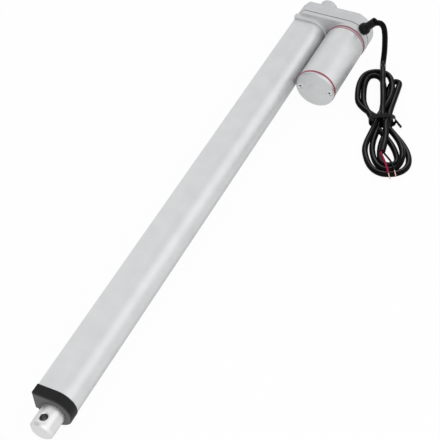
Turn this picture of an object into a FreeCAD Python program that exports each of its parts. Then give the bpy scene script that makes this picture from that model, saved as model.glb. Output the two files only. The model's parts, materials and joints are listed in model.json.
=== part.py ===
"""Electric linear actuator: a parametric document, one STEP file for each separate piece.

Millimetres. The rear pin hole is the origin, +X runs along the rod as it extends,
+Y points from the rod to the motor and +Z is up. The actuator lies on its side.
"""
import math
import os
import re

import FreeCAD
import Part
import Sketcher

V = FreeCAD.Vector
SAME_PLANE = 1e-4
FLANK_POINTS = 5
DEDENDUM = 1.25
BEND_SHARE = 0.45

# Driving sizes
SIZES = {
    "stroke": 400,
    "tube_spare": 85,
    "tube_radius": 15,
    "channel_overhang": 1.95,
    "tube_step": 3.3,
    "tube_wall": 2,
    "tube_edge": 0.4,
    "rod_radius": 10,
    "rod_wall": 2.5,
    "rod_chamfer": 2,
    "rod_showing": 19.6,
    "rod_hole_setback": 8,
    "countersink": 1,
    "plug_length": 32,
    "pin_hole_radius": 3.25,
    "lug_radius": 9,
    "lug_reach": 8.5,
    "lug_edge": 0.8,
    "cover_setback": 12,
    "cover_depth": 15.9,
    "cover_floor": 2.5,
    "gear_wall": 2.5,
    "socket_rim": 0.64,
    "collar_side": 0.75,
    "gear_chamfer": 6.6,
    "cover_round": 2.5,
    "gasket_thickness": 0.6,
    "gasket_inset": 0.35,
    "plate_thickness": 4.5,
    "collar_depth": 5.5,
    "collar_wall": 2.4,
    "socket_depth": 3,
    "motor_gap": 1.64,
    "casting_round": 0.8,
    "cap_overhang": 0.4,
    "cap_thickness": 9.4,
    "cap_spigot": 8,
    "cap_edge": 0.8,
    "seal_thickness": 5,
    "seal_width": 2,
    "bush_length": 15,
    "running_gap": 0.04,
    "slip_gap": 0.05,
    "free_gap": 0.3,
    "nut_length": 28,
    "nut_setback": 46,
    "nut_socket": 16,
    "nut_key_width": 5,
    "nut_key_base": 3,
    "nut_pin_radius": 1.5,
    "screw_gap": 1.5,
    "screw_journal": 4,
    "screw_shoulder": 5.5,
    "screw_front_spare": 26,
    "guide_length": 8,
    "bearing_outer": 11,
    "bearing_width": 7,
    "bearing_ring": 1.5,
    "bearing_setback": 2,
    "cage_setback": 0.4,
    "ball_count": 8,
    "retainer_thickness": 1.6,
    "hub_wall": 2.5,
    "first_pinion_teeth": 12,
    "first_wheel_teeth": 60,
    "second_pinion_teeth": 12,
    "second_wheel_teeth": 36,
    "pressure_angle": 25,
    "tooth_play": 0.06,
    "first_face": 4,
    "second_face": 6,
    "gear_gap": 1,
    "pinion_overlap": 0.6,
    "axle_radius": 2,
    "axle_skin": 1,
    "axle_bite": 3,
    "rear_seal_width": 4,
    "sleeve_radius": 19.36,
    "sleeve_wall": 1,
    "sleeve_length": 68,
    "front_seal_width": 1.6,
    "end_cap_thickness": 3.1,
    "end_cap_edge": 0.5,
    "boss_radius": 6,
    "boss_height": 0.3,
    "tie_gap": 1.21,
    "tie_radius": 1.5,
    "tie_head_radius": 2.6,
    "tie_head_height": 1.8,
    "tie_bite": 1,
    "flux_wall": 0.8,
    "flux_setback": 2,
    "magnet_thickness": 4.4,
    "magnet_angle": 124,
    "air_gap": 0.6,
    "stack_length": 32,
    "stack_setback": 20,
    "slot_count": 5,
    "slot_radius": 2.6,
    "slot_depth": 2.08,
    "winding_length": 4,
    "winding_setback": 1.91,
    "winding_inner": 3.6,
    "commutator_radius": 5,
    "commutator_length": 8,
    "motor_shaft_radius": 1.5,
    "motor_bush_radius": 3.6,
    "motor_bush_length": 4,
    "bush_wall": 2,
    "brush_plate_thickness": 1.6,
    "brush_width": 3,
    "brush_gap": 2.25,
    "brush_setback": 1,
    "board_thickness": 1,
    "board_width": 11,
    "board_base": 1.4,
    "board_gap": 0.35,
    "switch_length": 10,
    "switch_width": 3.8,
    "switch_height": 3.2,
    "plunger_radius": 0.9,
    "plunger_length": 2.2,
    "case_screw_radius": 1.6,
    "case_screw_head": 3,
    "case_screw_head_height": 2,
    "case_screw_bite": 4,
    "case_boss_radius": 3,
    "case_screw_side": 4.5,
    "case_screw_drop": 6.8,
    "case_screw_inset": 3.65,
    "case_screw_angle": 75,
    "gear_clear": 0.6,
    "switch_rise": 1,
    "key_socket": 1.25,
    "key_depth_share": 0.7,
    "grommet_angle": 43,
    "grommet_tilt": 48,
    "grommet_hole": 3.4,
    "grommet_radius": 6,
    "dome_rise": 2,
    "grommet_neck_radius": 4,
    "grommet_neck": 16,
    "cable_grip": 4,
    "grommet_inside": 3,
    "cable_radius": 2.8,
    "hank_height": 6,
    "hank_strand": 9,
    "hank_lift": 1,
    "tie_band": 1,
    "tie_width": 5,
    "tie_span": 25,
    "tie_height": 12,
    "twist_length": 9,
    "twist_inset": 4,
    "lead_radius": 0.9,
    "tip_radius": 0.5,
}

# Sizes that follow from the driving ones
DERIVED = {
    "cover_front": "cover_setback + cover_depth",
    "plate_rear": "cover_front + gasket_thickness",
    "plate_front": "plate_rear + plate_thickness",
    "collar_front": "plate_front + collar_depth",
    "socket_front": "plate_front + socket_depth",
    "parting": "cover_front + gasket_thickness / 2",
    "centre_step": "(tube_radius + motor_gap + sleeve_radius) / 2",
    "motor_offset": "2 * centre_step",
    "tube_side": "tube_radius + channel_overhang",
    "first_module": "2 * centre_step / (first_pinion_teeth + first_wheel_teeth)",
    "second_module": "2 * centre_step / (second_pinion_teeth + second_wheel_teeth)",
    "first_tip": "first_module * (first_wheel_teeth / 2 + 1)",
    "second_tip": "second_module * (second_wheel_teeth / 2 + 1)",
    "gear_left": "max(tube_side + collar_side; second_tip + gear_clear + gear_wall)",
    "gear_half": "max(sleeve_radius + socket_rim; first_tip + gear_clear + gear_wall)",
    "case_screw_left": "gear_left - case_screw_side",
    "case_screw_left_rise": "gear_half - case_screw_drop",
    "case_screw_circle": "gear_half - case_screw_inset",
    "case_screw_right": "case_screw_circle * cos(case_screw_angle * 1 deg)",
    "case_screw_right_rise": "case_screw_circle * sin(case_screw_angle * 1 deg)",
    "tube_front": "plate_front + stroke + tube_spare",
    "tube_bore": "tube_radius - tube_wall",
    "tube_bore_side": "tube_side - tube_wall",
    "tube_bore_step": "tube_step - tube_wall",
    "cap_front": "tube_front + cap_thickness",
    "cap_radius": "tube_radius + cap_overhang",
    "cap_side": "tube_side + cap_overhang",
    "cap_step": "tube_step + cap_overhang",
    "cap_bore": "rod_radius + free_gap",
    "seal_radius": "rod_radius + running_gap + seal_width",
    "seal_front": "cap_front - cap_thickness / 2 + seal_thickness / 2",
    "seal_rear": "seal_front - seal_thickness",
    "spigot_rear": "tube_front - cap_spigot",
    "bush_front": "spigot_rear",
    "bush_rear": "bush_front - bush_length",
    "rod_tip": "cap_front + rod_showing",
    "rod_hole": "rod_tip - rod_hole_setback",
    "rod_bore": "rod_radius - rod_wall",
    "rod_shoulder": "rod_tip - rod_chamfer",
    "plug_rear": "rod_tip - plug_length",
    "nut_front": "nut_setback + nut_length",
    "nut_step": "nut_front - nut_socket",
    "nut_radius": "tube_bore - free_gap / 2",
    "nut_key_reach": "board_face - free_gap",
    "key_top": "nut_key_base + nut_key_width",
    "screw_radius": "rod_bore - screw_gap",
    "bearing_rear": "plate_rear + bearing_setback",
    "bearing_front": "bearing_rear + bearing_width",
    "bearing_middle": "bearing_rear + bearing_width / 2",
    "inner_race": "screw_journal + bearing_ring",
    "outer_race": "bearing_outer - bearing_ring",
    "ball_circle": "(inner_race + outer_race) / 2",
    "ball_radius": "(outer_race - inner_race) / 2 + bearing_ring / 2",
    "retainer_front": "bearing_front + retainer_thickness",
    "retainer_bore": "screw_shoulder + 2 * free_gap",
    "shoulder_front": "retainer_front + retainer_thickness",
    "screw_front": "plug_rear - screw_front_spare",
    "guide_rear": "screw_front - guide_length",
    "guide_radius": "rod_bore - free_gap / 2",
    "first_rear": "cover_setback + cover_floor + gear_gap",
    "first_front": "first_rear + first_face",
    "second_rear": "first_front + gear_gap",
    "hub_radius": "screw_journal + hub_wall",
    "axle_rear": "cover_setback + axle_skin",
    "axle_front": "plate_rear + axle_bite",
    "sleeve_rear": "socket_front + rear_seal_width",
    "sleeve_front": "sleeve_rear + sleeve_length",
    "sleeve_bore": "sleeve_radius - sleeve_wall",
    "end_cap_rear": "sleeve_front + front_seal_width",
    "end_cap_front": "end_cap_rear + end_cap_thickness",
    "tie_head_rear": "end_cap_front - tie_head_height",
    "flux_outer": "sleeve_bore - slip_gap",
    "flux_inner": "flux_outer - flux_wall",
    "magnet_inner": "flux_inner - magnet_thickness",
    "tie_circle": "flux_inner - tie_gap - tie_radius",
    "stack_radius": "magnet_inner - air_gap",
    "winding_outer": "stack_radius - winding_setback",
    "stack_rear": "sleeve_rear + stack_setback",
    "stack_front": "stack_rear + stack_length",
    "commutator_rear": "stack_front + winding_length",
    "commutator_front": "commutator_rear + commutator_length",
    "brush_reach": "commutator_radius + slip_gap",
    "brush_length": "tie_circle - tie_radius - brush_gap - brush_reach",
    "brush_plate_rear": "commutator_front + free_gap",
    "front_bush_rear": "end_cap_rear - motor_bush_length",
    "bush_boss": "motor_bush_radius + bush_wall",
    "brush_rear": "commutator_rear + brush_setback",
    "grommet_wall": "gear_half - gear_wall",
    "hole_start": "gear_half / 2",
    "dome_middle": "gear_half + dome_rise",
    "board_face": "tube_bore_side - board_gap - board_thickness",
    "nut_clear": "sqrt(nut_radius ^ 2 - (board_face - switch_width) ^ 2) + free_gap",
    "switch_base": "max(key_top + switch_rise; nut_clear)",
    "plunger_showing": "switch_base - key_top - free_gap",
    "rear_switch_x": "retainer_front + free_gap",
    "front_switch_x": "nut_front + stroke - switch_length",
    "board_rear": "rear_switch_x",
    "board_front": "front_switch_x + switch_length",
    "plunger_y": "board_face - switch_width / 2",
    "floor_level": "gear_half",
}

doc = FreeCAD.newDocument("linear_actuator")
sheet = doc.addObject("Spreadsheet::Sheet", "sizes")
for row, (alias, value) in enumerate(list(SIZES.items()) + list(DERIVED.items()), start=1):
    cell = f"B{row}"
    sheet.set(f"A{row}", alias)
    sheet.set(cell, f"={value}" if alias in DERIVED else str(value))
    sheet.setAlias(cell, alias)
sheet.recompute()
scratch = doc.addObject("Spreadsheet::Sheet", "scratch")
PIECES = []


def formula(text):
    """The same formula with each size read from the sheet."""
    def name(match):
        word = match.group()
        return f"sizes.{word}" if word in SIZES or word in DERIVED else word
    return re.sub(r"[a-z_]+", name, text)


def number(text):
    """The value of a formula, worked out on a spare sheet."""
    scratch.set("A1", f"={formula(text)}")
    scratch.recompute()
    return float(scratch.get("A1"))


def keep(piece, label):
    """Give a finished piece the label that names its file."""
    piece.Label = label
    PIECES.append(piece)
    return piece


# Sketches and features
def new_body(label):
    body = doc.addObject("PartDesign::Body", f"{label}_body")
    return keep(body, label)


def sketch_on(body, plane, offset="0", shift="0", side="0"):
    """A sketch on one of the body's own planes, moved along its normal and along its two axes."""
    sketch = body.newObject("Sketcher::SketchObject", "sketch")
    support = [f for f in body.Origin.OriginFeatures if f.Role == plane][0]
    sketch.AttachmentSupport = [(support, "")]
    sketch.MapMode = "FlatFace"
    sketch.setExpression("AttachmentOffset.Base.z", formula(offset))
    sketch.setExpression("AttachmentOffset.Base.y", formula(shift))
    sketch.setExpression("AttachmentOffset.Base.x", formula(side))
    return sketch


def bind(sketch, kind, places, text):
    """Add a dimension to a sketch and bind it to the sheet."""
    index = sketch.addConstraint(Sketcher.Constraint(kind, *places, number(text)))
    sketch.setExpression(f"Constraints[{index}]", formula(text))


def tie(sketch, kind, *places):
    sketch.addConstraint(Sketcher.Constraint(kind, *places))


def circle(sketch, radius, across="0", up="0"):
    """A circle with its centre and radius bound to the sheet."""
    centre = V(number(across), number(up), 0)
    geo = sketch.addGeometry(Part.Circle(centre, V(0, 0, 1), number(radius)), False)
    bind(sketch, "Radius", (geo,), radius)
    bind(sketch, "DistanceX", (-1, 1, geo, 3), across)
    bind(sketch, "DistanceY", (-1, 1, geo, 3), up)


def polygon(sketch, corners):
    """A closed outline of straight lines with every corner bound to the sheet."""
    points = [V(number(a), number(b), 0) for a, b in corners]
    count = len(points)
    first = sketch.GeometryCount
    for i in range(count):
        sketch.addGeometry(Part.LineSegment(points[i], points[(i + 1) % count]), False)
    for i in range(count):
        tie(sketch, "Coincident", first + i, 2, first + (i + 1) % count, 1)
    for i, (across, up) in enumerate(corners):
        bind(sketch, "DistanceX", (-1, 1, first + i, 1), across)
        bind(sketch, "DistanceY", (-1, 1, first + i, 1), up)


def barrel_outline(sketch, radius, side, step):
    """The tube's outline: a round barrel with a square switch channel at its upper left."""
    r, a, s = number(radius), number(side), number(step)
    foot = math.sqrt(r * r - s * s)
    g = sketch.GeometryCount
    sketch.addGeometry(Part.LineSegment(V(0, r, 0), V(-a, r, 0)), False)
    sketch.addGeometry(Part.LineSegment(V(-a, r, 0), V(-a, -s, 0)), False)
    sketch.addGeometry(Part.LineSegment(V(-a, -s, 0), V(-foot, -s, 0)), False)
    round_part = Part.Circle(V(0, 0, 0), V(0, 0, 1), r)
    start = math.pi + math.asin(s / r)
    sketch.addGeometry(Part.ArcOfCircle(round_part, start, 2.5 * math.pi), False)
    tie(sketch, "Coincident", g + 3, 3, -1, 1)
    for i in range(4):
        tie(sketch, "Coincident", g + i, 2, g + (i + 1) % 4, 1)
    tie(sketch, "Horizontal", g)
    tie(sketch, "Vertical", g + 1)
    tie(sketch, "Horizontal", g + 2)
    tie(sketch, "PointOnObject", g, 1, -2)
    bind(sketch, "Radius", (g + 3,), radius)
    bind(sketch, "DistanceX", (g + 1, 1, -1, 1), side)
    bind(sketch, "DistanceY", (g + 1, 2, -1, 1), step)


def gearbox_outline(sketch, inset):
    """The gearbox outline: chamfered flat end beside the tube, round end about the motor."""
    half = f"(gear_half - {inset})"
    left = f"(gear_left - {inset})"
    cut = f"(gear_chamfer - {inset} * (2 - sqrt(2)))"
    h, a, c, m = number(half), number(left), number(cut), number("motor_offset")
    g = sketch.GeometryCount
    points = [V(m, h, 0), V(c - a, h, 0), V(-a, h - c, 0), V(-a, c - h, 0), V(c - a, -h, 0), V(m, -h, 0)]
    for i in range(5):
        sketch.addGeometry(Part.LineSegment(points[i], points[i + 1]), False)
    end = Part.Circle(V(m, 0, 0), V(0, 0, 1), h)
    sketch.addGeometry(Part.ArcOfCircle(end, -math.pi / 2, math.pi / 2), False)
    for i in range(6):
        tie(sketch, "Coincident", g + i, 2, g + (i + 1) % 6, 1)
    places = [("motor_offset", half), (f"{cut} - {left}", half), (f"0 - {left}", f"{half} - {cut}"),
              (f"0 - {left}", f"{cut} - {half}"), (f"{cut} - {left}", f"0 - {half}")]
    for i, (across, up) in enumerate(places):
        bind(sketch, "DistanceX", (-1, 1, g + i, 1), across)
        bind(sketch, "DistanceY", (-1, 1, g + i, 1), up)
    bind(sketch, "DistanceX", (-1, 1, g + 5, 3), "motor_offset")
    bind(sketch, "DistanceY", (-1, 1, g + 5, 3), "0")
    tie(sketch, "Vertical", g + 4, 2, g + 5, 3)


def pad(body, sketch, length):
    feature = body.newObject("PartDesign::Pad", "pad")
    feature.Profile = sketch
    feature.setExpression("Length", formula(length))
    body.Tip = feature
    doc.recompute()
    return feature


def pocket(body, sketch, length):
    """Cut backwards along the sketch's normal."""
    feature = body.newObject("PartDesign::Pocket", "pocket")
    feature.Profile = sketch
    feature.setExpression("Length", formula(length))
    body.Tip = feature
    doc.recompute()
    return feature


def turned(label, corners, axis="0"):
    """A turned piece: its half section, along X and out from its axis, spun about the axis."""
    body = new_body(label)
    sketch = sketch_on(body, "XY_Plane", shift=axis)
    polygon(sketch, corners)
    feature = body.newObject("PartDesign::Revolution", "turn")
    feature.Profile = sketch
    feature.ReferenceAxis = (sketch, ["H_Axis"])
    feature.Angle = 360
    body.Tip = feature
    doc.recompute()
    return body


def ring(label, rear, front, inner, outer, axis="0"):
    return turned(label, [(rear, inner), (front, inner), (front, outer), (rear, outer)], axis)


def drill(body, start, length, radius, places):
    """Round holes along X that begin at start and run back by length."""
    sketch = sketch_on(body, "YZ_Plane", start)
    for across, up in places:
        circle(sketch, radius, across, up)
    return pocket(body, sketch, length)


def edges_at(feature, level):
    """Names of the edges of a feature that lie in the plane X = level."""
    plane = number(level)
    names = []
    for i, edge in enumerate(feature.Shape.Edges, start=1):
        box = edge.BoundBox
        if max(abs(box.XMin - plane), abs(box.XMax - plane)) < SAME_PLANE:
            names.append(f"Edge{i}")
    return names


def dress(body, kind, base, names, prop, size):
    """A fillet or chamfer on named edges of a feature."""
    feature = body.newObject(f"PartDesign::{kind}", kind.lower())
    feature.Base = (base, names)
    feature.setExpression(prop, formula(size))
    body.Tip = feature
    doc.recompute()
    return feature


def grommet_cut(body):
    """The radial hole for the cable grommet, half in each casting."""
    hole = body.newObject("PartDesign::SubtractiveCylinder", "grommet_hole")
    hole.setExpression("Radius", formula("grommet_hole"))
    hole.setExpression("Height", formula("gear_half"))
    hole.Placement = FreeCAD.Placement(V(0, 0, 0), FreeCAD.Rotation(V(1, 0, 0), number("grommet_angle") - 90))
    hole.setExpression("Placement.Base.x", formula("parting"))
    hole.setExpression("Placement.Base.y", formula("motor_offset + hole_start * cos(grommet_angle * 1 deg)"))
    hole.setExpression("Placement.Base.z", formula("hole_start * sin(grommet_angle * 1 deg)"))
    body.Tip = hole
    doc.recompute()


# Part primitives
def place(piece, x, y, z):
    for axis, text in zip("xyz", (x, y, z)):
        piece.setExpression(f"Placement.Base.{axis}", formula(text))


def block(x, y, z, length, width, height):
    piece = doc.addObject("Part::Box", "block")
    for prop, text in (("Length", length), ("Width", width), ("Height", height)):
        piece.setExpression(prop, formula(text))
    place(piece, x, y, z)
    return piece


def rod(x, y, z, radius, length, direction):
    """A cylinder that starts at a point and runs along a direction."""
    piece = doc.addObject("Part::Cylinder", "rod")
    piece.Placement = FreeCAD.Placement(V(0, 0, 0), FreeCAD.Rotation(V(0, 0, 1), direction))
    piece.setExpression("Radius", formula(radius))
    piece.setExpression("Height", formula(length))
    place(piece, x, y, z)
    return piece


def cut(base, tool):
    piece = doc.addObject("Part::Cut", "cut")
    piece.Base = base
    piece.Tool = tool
    return piece


def fuse(*shapes):
    piece = doc.addObject("Part::MultiFuse", "fuse")
    piece.Shapes = list(shapes)
    return piece


def group(label, pieces):
    """Separate solids of one kind that share a node."""
    piece = doc.addObject("Part::Compound", f"{label}_group")
    piece.Links = pieces
    return keep(piece, label)


def socket_screw(x, y, z, head_radius, head_height, radius, length, forward):
    """A screw along X: its head starts at x, its shank follows, with a hexagon key socket."""
    way = V(1, 0, 0) if forward else V(-1, 0, 0)
    sign = "+" if forward else "-"
    head = rod(x, y, z, head_radius, head_height, way)
    shank = rod(f"{x} {sign} {head_height}", y, z, radius, length, way)
    key = doc.addObject("Part::Prism", "key")
    key.Polygon = 6
    key.Placement = FreeCAD.Placement(V(0, 0, 0), FreeCAD.Rotation(V(0, 0, 1), way))
    key.setExpression("Circumradius", formula("key_socket"))
    key.setExpression("Height", formula(f"{head_height} * key_depth_share"))
    place(key, x, y, z)
    return cut(fuse(head, shank), key)


# Gears and cords, made from formulas
def gear_face(teeth, module, turn):
    """The outline of a spur gear with involute flanks, as a face at X = 0."""
    angle = math.radians(number("pressure_angle"))
    pitch = teeth * module / 2
    base = pitch * math.cos(angle)
    tip = pitch + module
    root = pitch - DEDENDUM * module
    play = number("tooth_play") / pitch
    half = math.pi / (2 * teeth) - play / 2 + math.tan(angle) - angle

    def flank(radius):
        roll = math.sqrt(max((radius / base) ** 2 - 1, 0))
        return half - (roll - math.atan(roll))

    def at(radius, direction):
        return V(0, radius * math.cos(direction), radius * math.sin(direction))

    start = max(base, root)
    radii = [start + (tip - start) * k / (FLANK_POINTS - 1) for k in range(FLANK_POINTS)]
    edges = []
    step = 2 * math.pi / teeth
    for k in range(teeth):
        mid = turn + k * step
        rise = [at(r, mid - flank(r)) for r in radii]
        fall = [at(r, mid + flank(r)) for r in reversed(radii)]
        if root < start:
            rise.insert(0, at(root, mid - flank(start)))
            fall.append(at(root, mid + flank(start)))
            edges.append(Part.makeLine(rise[0], rise[1]))
        left = Part.BSplineCurve()
        left.interpolate(rise[-FLANK_POINTS:])
        edges.append(left.toShape())
        edges.append(Part.Arc(rise[-1], at(tip, mid), fall[0]).toShape())
        right = Part.BSplineCurve()
        right.interpolate(fall[:FLANK_POINTS])
        edges.append(right.toShape())
        if root < start:
            edges.append(Part.makeLine(fall[-2], fall[-1]))
        following = at(root if root < start else radii[0], mid + step - flank(start))
        edges.append(Part.Arc(fall[-1], at(min(root, start), mid + step / 2), following).toShape())
    return Part.Face(Part.Wire(Part.sortEdges(edges)[0]))


def gear(label, teeth, module, turn, rear, face, bore, axis, hub=None):
    """A spur gear on an axis along X, with an optional hub in front of it."""
    width = number(face)
    shape = gear_face(int(number(teeth)), number(module), turn).extrude(V(width, 0, 0))
    reach = width
    if hub:
        radius, front = hub
        reach = number(f"{front} - ({rear})")
        shape = shape.fuse(Part.makeCylinder(number(radius), reach - width, V(width, 0, 0), V(1, 0, 0)))
    shape = shape.cut(Part.makeCylinder(number(bore), reach, V(0, 0, 0), V(1, 0, 0)))
    piece = doc.addObject("Part::Feature", f"{label}_gear")
    piece.Shape = shape.removeSplitter()
    place(piece, rear, axis, "0")
    return keep(piece, label)


def cord(label, route, radius):
    """A round cord along straight runs joined by tangent arcs."""
    points = [V(*p) for p in route]
    edges = []
    last = points[0]
    for before, here, after in zip(points, points[1:], points[2:]):
        back = (before - here).normalize()
        on = (after - here).normalize()
        turn = math.pi - back.getAngle(on)
        run = BEND_SHARE * min((before - here).Length, (after - here).Length)
        bend = run / math.tan(turn / 2)
        inward = (back + on).normalize()
        enter = here + back * run
        leave = here + on * run
        middle = here + inward * (bend / math.cos(turn / 2) - bend)
        edges.append(Part.LineSegment(last, enter).toShape())
        edges.append(Part.Arc(enter, middle, leave).toShape())
        last = leave
        print(f"{label}: bend radius {bend:.1f}")
    edges.append(Part.LineSegment(last, points[-1]).toShape())
    path = Part.Wire(edges)
    section = Part.Wire(Part.makeCircle(radius, points[0], points[1] - points[0]))
    piece = doc.addObject("Part::Feature", f"{label}_cord")
    piece.Shape = path.makePipeShell([section], True, True)
    return keep(piece, label)


# Places that several pieces share
CASE_SCREWS = [
    ("0 - case_screw_left", "case_screw_left_rise"),
    ("0 - case_screw_left", "0 - case_screw_left_rise"),
    ("motor_offset + case_screw_right", "case_screw_right_rise"),
    ("motor_offset + case_screw_right", "0 - case_screw_right_rise"),
]
TIE_SCREWS = [("motor_offset - tie_circle", "0"), ("motor_offset + tie_circle", "0")]

# Gearbox cover with the rear lug
cover = new_body("gearbox_cover")
outline = sketch_on(cover, "YZ_Plane", "cover_setback")
gearbox_outline(outline, "0")
shell = pad(cover, outline, "cover_depth")
dress(cover, "Fillet", shell, edges_at(shell, "cover_setback"), "Radius", "cover_round")
cavity = sketch_on(cover, "YZ_Plane", "cover_front")
gearbox_outline(cavity, "gear_wall")
pocket(cover, cavity, "cover_depth - cover_floor")
bosses = sketch_on(cover, "YZ_Plane", "cover_setback + cover_round")
for across, up in CASE_SCREWS:
    circle(bosses, "case_boss_radius", across, up)
pad(cover, bosses, "cover_depth - cover_round")
seat = sketch_on(cover, "YZ_Plane", "cover_setback + cover_floor - free_gap")
circle(seat, "2 * axle_radius", "centre_step")
pad(cover, seat, "gear_gap")
lug = sketch_on(cover, "YZ_Plane", "0 - lug_reach")
circle(lug, "lug_radius")
stub = pad(cover, lug, "lug_reach + cover_setback + free_gap")
dress(cover, "Fillet", stub, edges_at(stub, "0 - lug_reach"), "Radius", "lug_edge")
eye = sketch_on(cover, "XZ_Plane", "lug_radius")
circle(eye, "pin_hole_radius")
pocket(cover, eye, "2 * lug_radius")
drill(cover, "cover_setback + case_screw_head_height", "case_screw_head_height",
      "case_screw_head + slip_gap", CASE_SCREWS)
drill(cover, "cover_front", "cover_depth", "case_screw_radius + slip_gap", CASE_SCREWS)
drill(cover, "first_rear", "first_rear - axle_rear", "axle_radius", [("centre_step", "0")])
grommet_cut(cover)

# Gasket that shows as the dark parting line
gasket = new_body("gearbox_gasket")
rim = sketch_on(gasket, "YZ_Plane", "cover_front")
gearbox_outline(rim, "gasket_inset")
gearbox_outline(rim, "gear_wall")
pad(gasket, rim, "gasket_thickness")
drill(gasket, "plate_rear", "gasket_thickness", "case_screw_radius + slip_gap", CASE_SCREWS)
grommet_cut(gasket)

# Gearbox housing with the tube collar and the motor socket
housing = new_body("gearbox_housing")
plate = sketch_on(housing, "YZ_Plane", "plate_rear")
gearbox_outline(plate, "0")
pad(housing, plate, "plate_thickness")
collar = sketch_on(housing, "YZ_Plane", "plate_front")
barrel_outline(collar, "tube_radius + collar_wall", "gear_left", "tube_step + collar_wall")
rim = pad(housing, collar, "collar_depth")
dress(housing, "Fillet", rim, edges_at(rim, "collar_front"), "Radius", "casting_round")
socket = sketch_on(housing, "YZ_Plane", "plate_front")
circle(socket, "gear_half", "motor_offset")
pad(housing, socket, "socket_depth")
recess = sketch_on(housing, "YZ_Plane", "collar_front")
barrel_outline(recess, "tube_radius + slip_gap", "tube_side + slip_gap", "tube_step + slip_gap")
pocket(housing, recess, "collar_depth")
drill(housing, "collar_front", "collar_front - socket_front", "sleeve_radius + free_gap",
      [("motor_offset", "0")])
nest = sketch_on(housing, "YZ_Plane", "plate_front")
circle(nest, "tube_bore - slip_gap")
pad(housing, nest, "bearing_front - plate_front")
drill(housing, "bearing_front", "bearing_width", "bearing_outer", [("0", "0")])
drill(housing, "bearing_rear", "bearing_rear - plate_rear", "hub_radius + free_gap", [("0", "0")])
drill(housing, "socket_front", "socket_front - plate_rear", "motor_bush_radius", [("motor_offset", "0")])
drill(housing, "axle_front", "axle_bite", "axle_radius", [("centre_step", "0")])
drill(housing, "plate_rear + case_screw_bite", "case_screw_bite", "case_screw_radius", CASE_SCREWS)
drill(housing, "socket_front", "socket_depth + tie_bite", "tie_radius", TIE_SCREWS)
grommet_cut(housing)

case_screws = []
for across, up in CASE_SCREWS:
    case_screws.append(socket_screw(
        "cover_setback", across, up, "case_screw_head", "case_screw_head_height", "case_screw_radius",
        "plate_rear + case_screw_bite - cover_setback - case_screw_head_height", True))
group("gearbox_screws", case_screws)

# Outer tube and front cap
tube = new_body("outer_tube")
section = sketch_on(tube, "YZ_Plane", "plate_front")
barrel_outline(section, "tube_radius", "tube_side", "tube_step")
barrel_outline(section, "tube_bore", "tube_bore_side", "tube_bore_step")
barrel = pad(tube, section, "tube_front - plate_front")
dress(tube, "Chamfer", barrel, edges_at(barrel, "tube_front"), "Size", "tube_edge")

cap = new_body("front_cap")
front = sketch_on(cap, "YZ_Plane", "tube_front")
barrel_outline(front, "cap_radius", "cap_side", "cap_step")
disc = pad(cap, front, "cap_thickness")
dress(cap, "Chamfer", disc, edges_at(disc, "cap_front"), "Size", "cap_edge")
spigot = sketch_on(cap, "YZ_Plane", "spigot_rear")
circle(spigot, "tube_bore - slip_gap")
pad(cap, spigot, "cap_spigot")
drill(cap, "cap_front", "cap_thickness + cap_spigot", "cap_bore", [("0", "0")])
drill(cap, "seal_front", "seal_front - spigot_rear", "seal_radius", [("0", "0")])
ring("rod_wiper_seal", "seal_rear", "seal_front", "rod_radius + running_gap", "seal_radius")
ring("rod_guide_bush", "bush_rear", "bush_front", "rod_radius + running_gap", "tube_bore - slip_gap")

# Rod, its plug and the drive nut
rod_tube = ring("rod_tube", "nut_step", "rod_shoulder", "rod_bore", "rod_radius")
holes = sketch_on(rod_tube, "XY_Plane", "rod_radius")
circle(holes, "pin_hole_radius", "rod_hole")
circle(holes, "nut_pin_radius", "nut_front - nut_socket / 2")
pocket(rod_tube, holes, "2 * rod_radius")
for side in (1, -1):
    sink = rod_tube.newObject("PartDesign::SubtractiveCone", "countersink")
    sink.Placement = FreeCAD.Placement(V(0, 0, 0), FreeCAD.Rotation(V(0, 0, 1), V(0, 0, side)))
    sink.setExpression("Radius1", formula("pin_hole_radius"))
    sink.setExpression("Radius2", formula("pin_hole_radius + countersink"))
    sink.setExpression("Height", formula("countersink"))
    place(sink, "rod_hole", "0", f"{side} * (rod_radius - countersink)")
    rod_tube.Tip = sink

plug = turned("rod_end_plug", [
    ("plug_rear", "0"), ("rod_tip", "0"), ("rod_tip", "rod_radius - rod_chamfer"),
    ("rod_shoulder", "rod_radius"), ("rod_shoulder", "rod_bore"), ("plug_rear", "rod_bore")])
eye = sketch_on(plug, "XY_Plane", "rod_radius")
circle(eye, "pin_hole_radius", "rod_hole")
pocket(plug, eye, "2 * rod_radius")

nut = new_body("drive_nut")
round_part = sketch_on(nut, "YZ_Plane", "nut_setback")
circle(round_part, "nut_radius")
pad(nut, round_part, "nut_length")
key = sketch_on(nut, "YZ_Plane", "nut_setback")
polygon(key, [("0 - nut_key_reach", "nut_key_base"), ("0 - rod_bore", "nut_key_base"),
              ("0 - rod_bore", "key_top"), ("0 - nut_key_reach", "key_top")])
pad(nut, key, "nut_length")
drill(nut, "nut_front", "nut_length", "screw_radius + slip_gap", [("0", "0")])
drill(nut, "nut_front", "nut_socket", "rod_radius", [("0", "0")])
holes = sketch_on(nut, "XY_Plane", "nut_radius")
circle(holes, "nut_pin_radius", "nut_front - nut_socket / 2")
pocket(nut, holes, "2 * nut_radius")
pin_length = "nut_radius - rod_bore - free_gap"
pin_x = "nut_front - nut_socket / 2"
group("rod_pins", [rod(pin_x, "0", "rod_bore", "nut_pin_radius", pin_length, V(0, 0, 1)),
                   rod(pin_x, "0", "0 - rod_bore", "nut_pin_radius", pin_length, V(0, 0, -1))])

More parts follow.
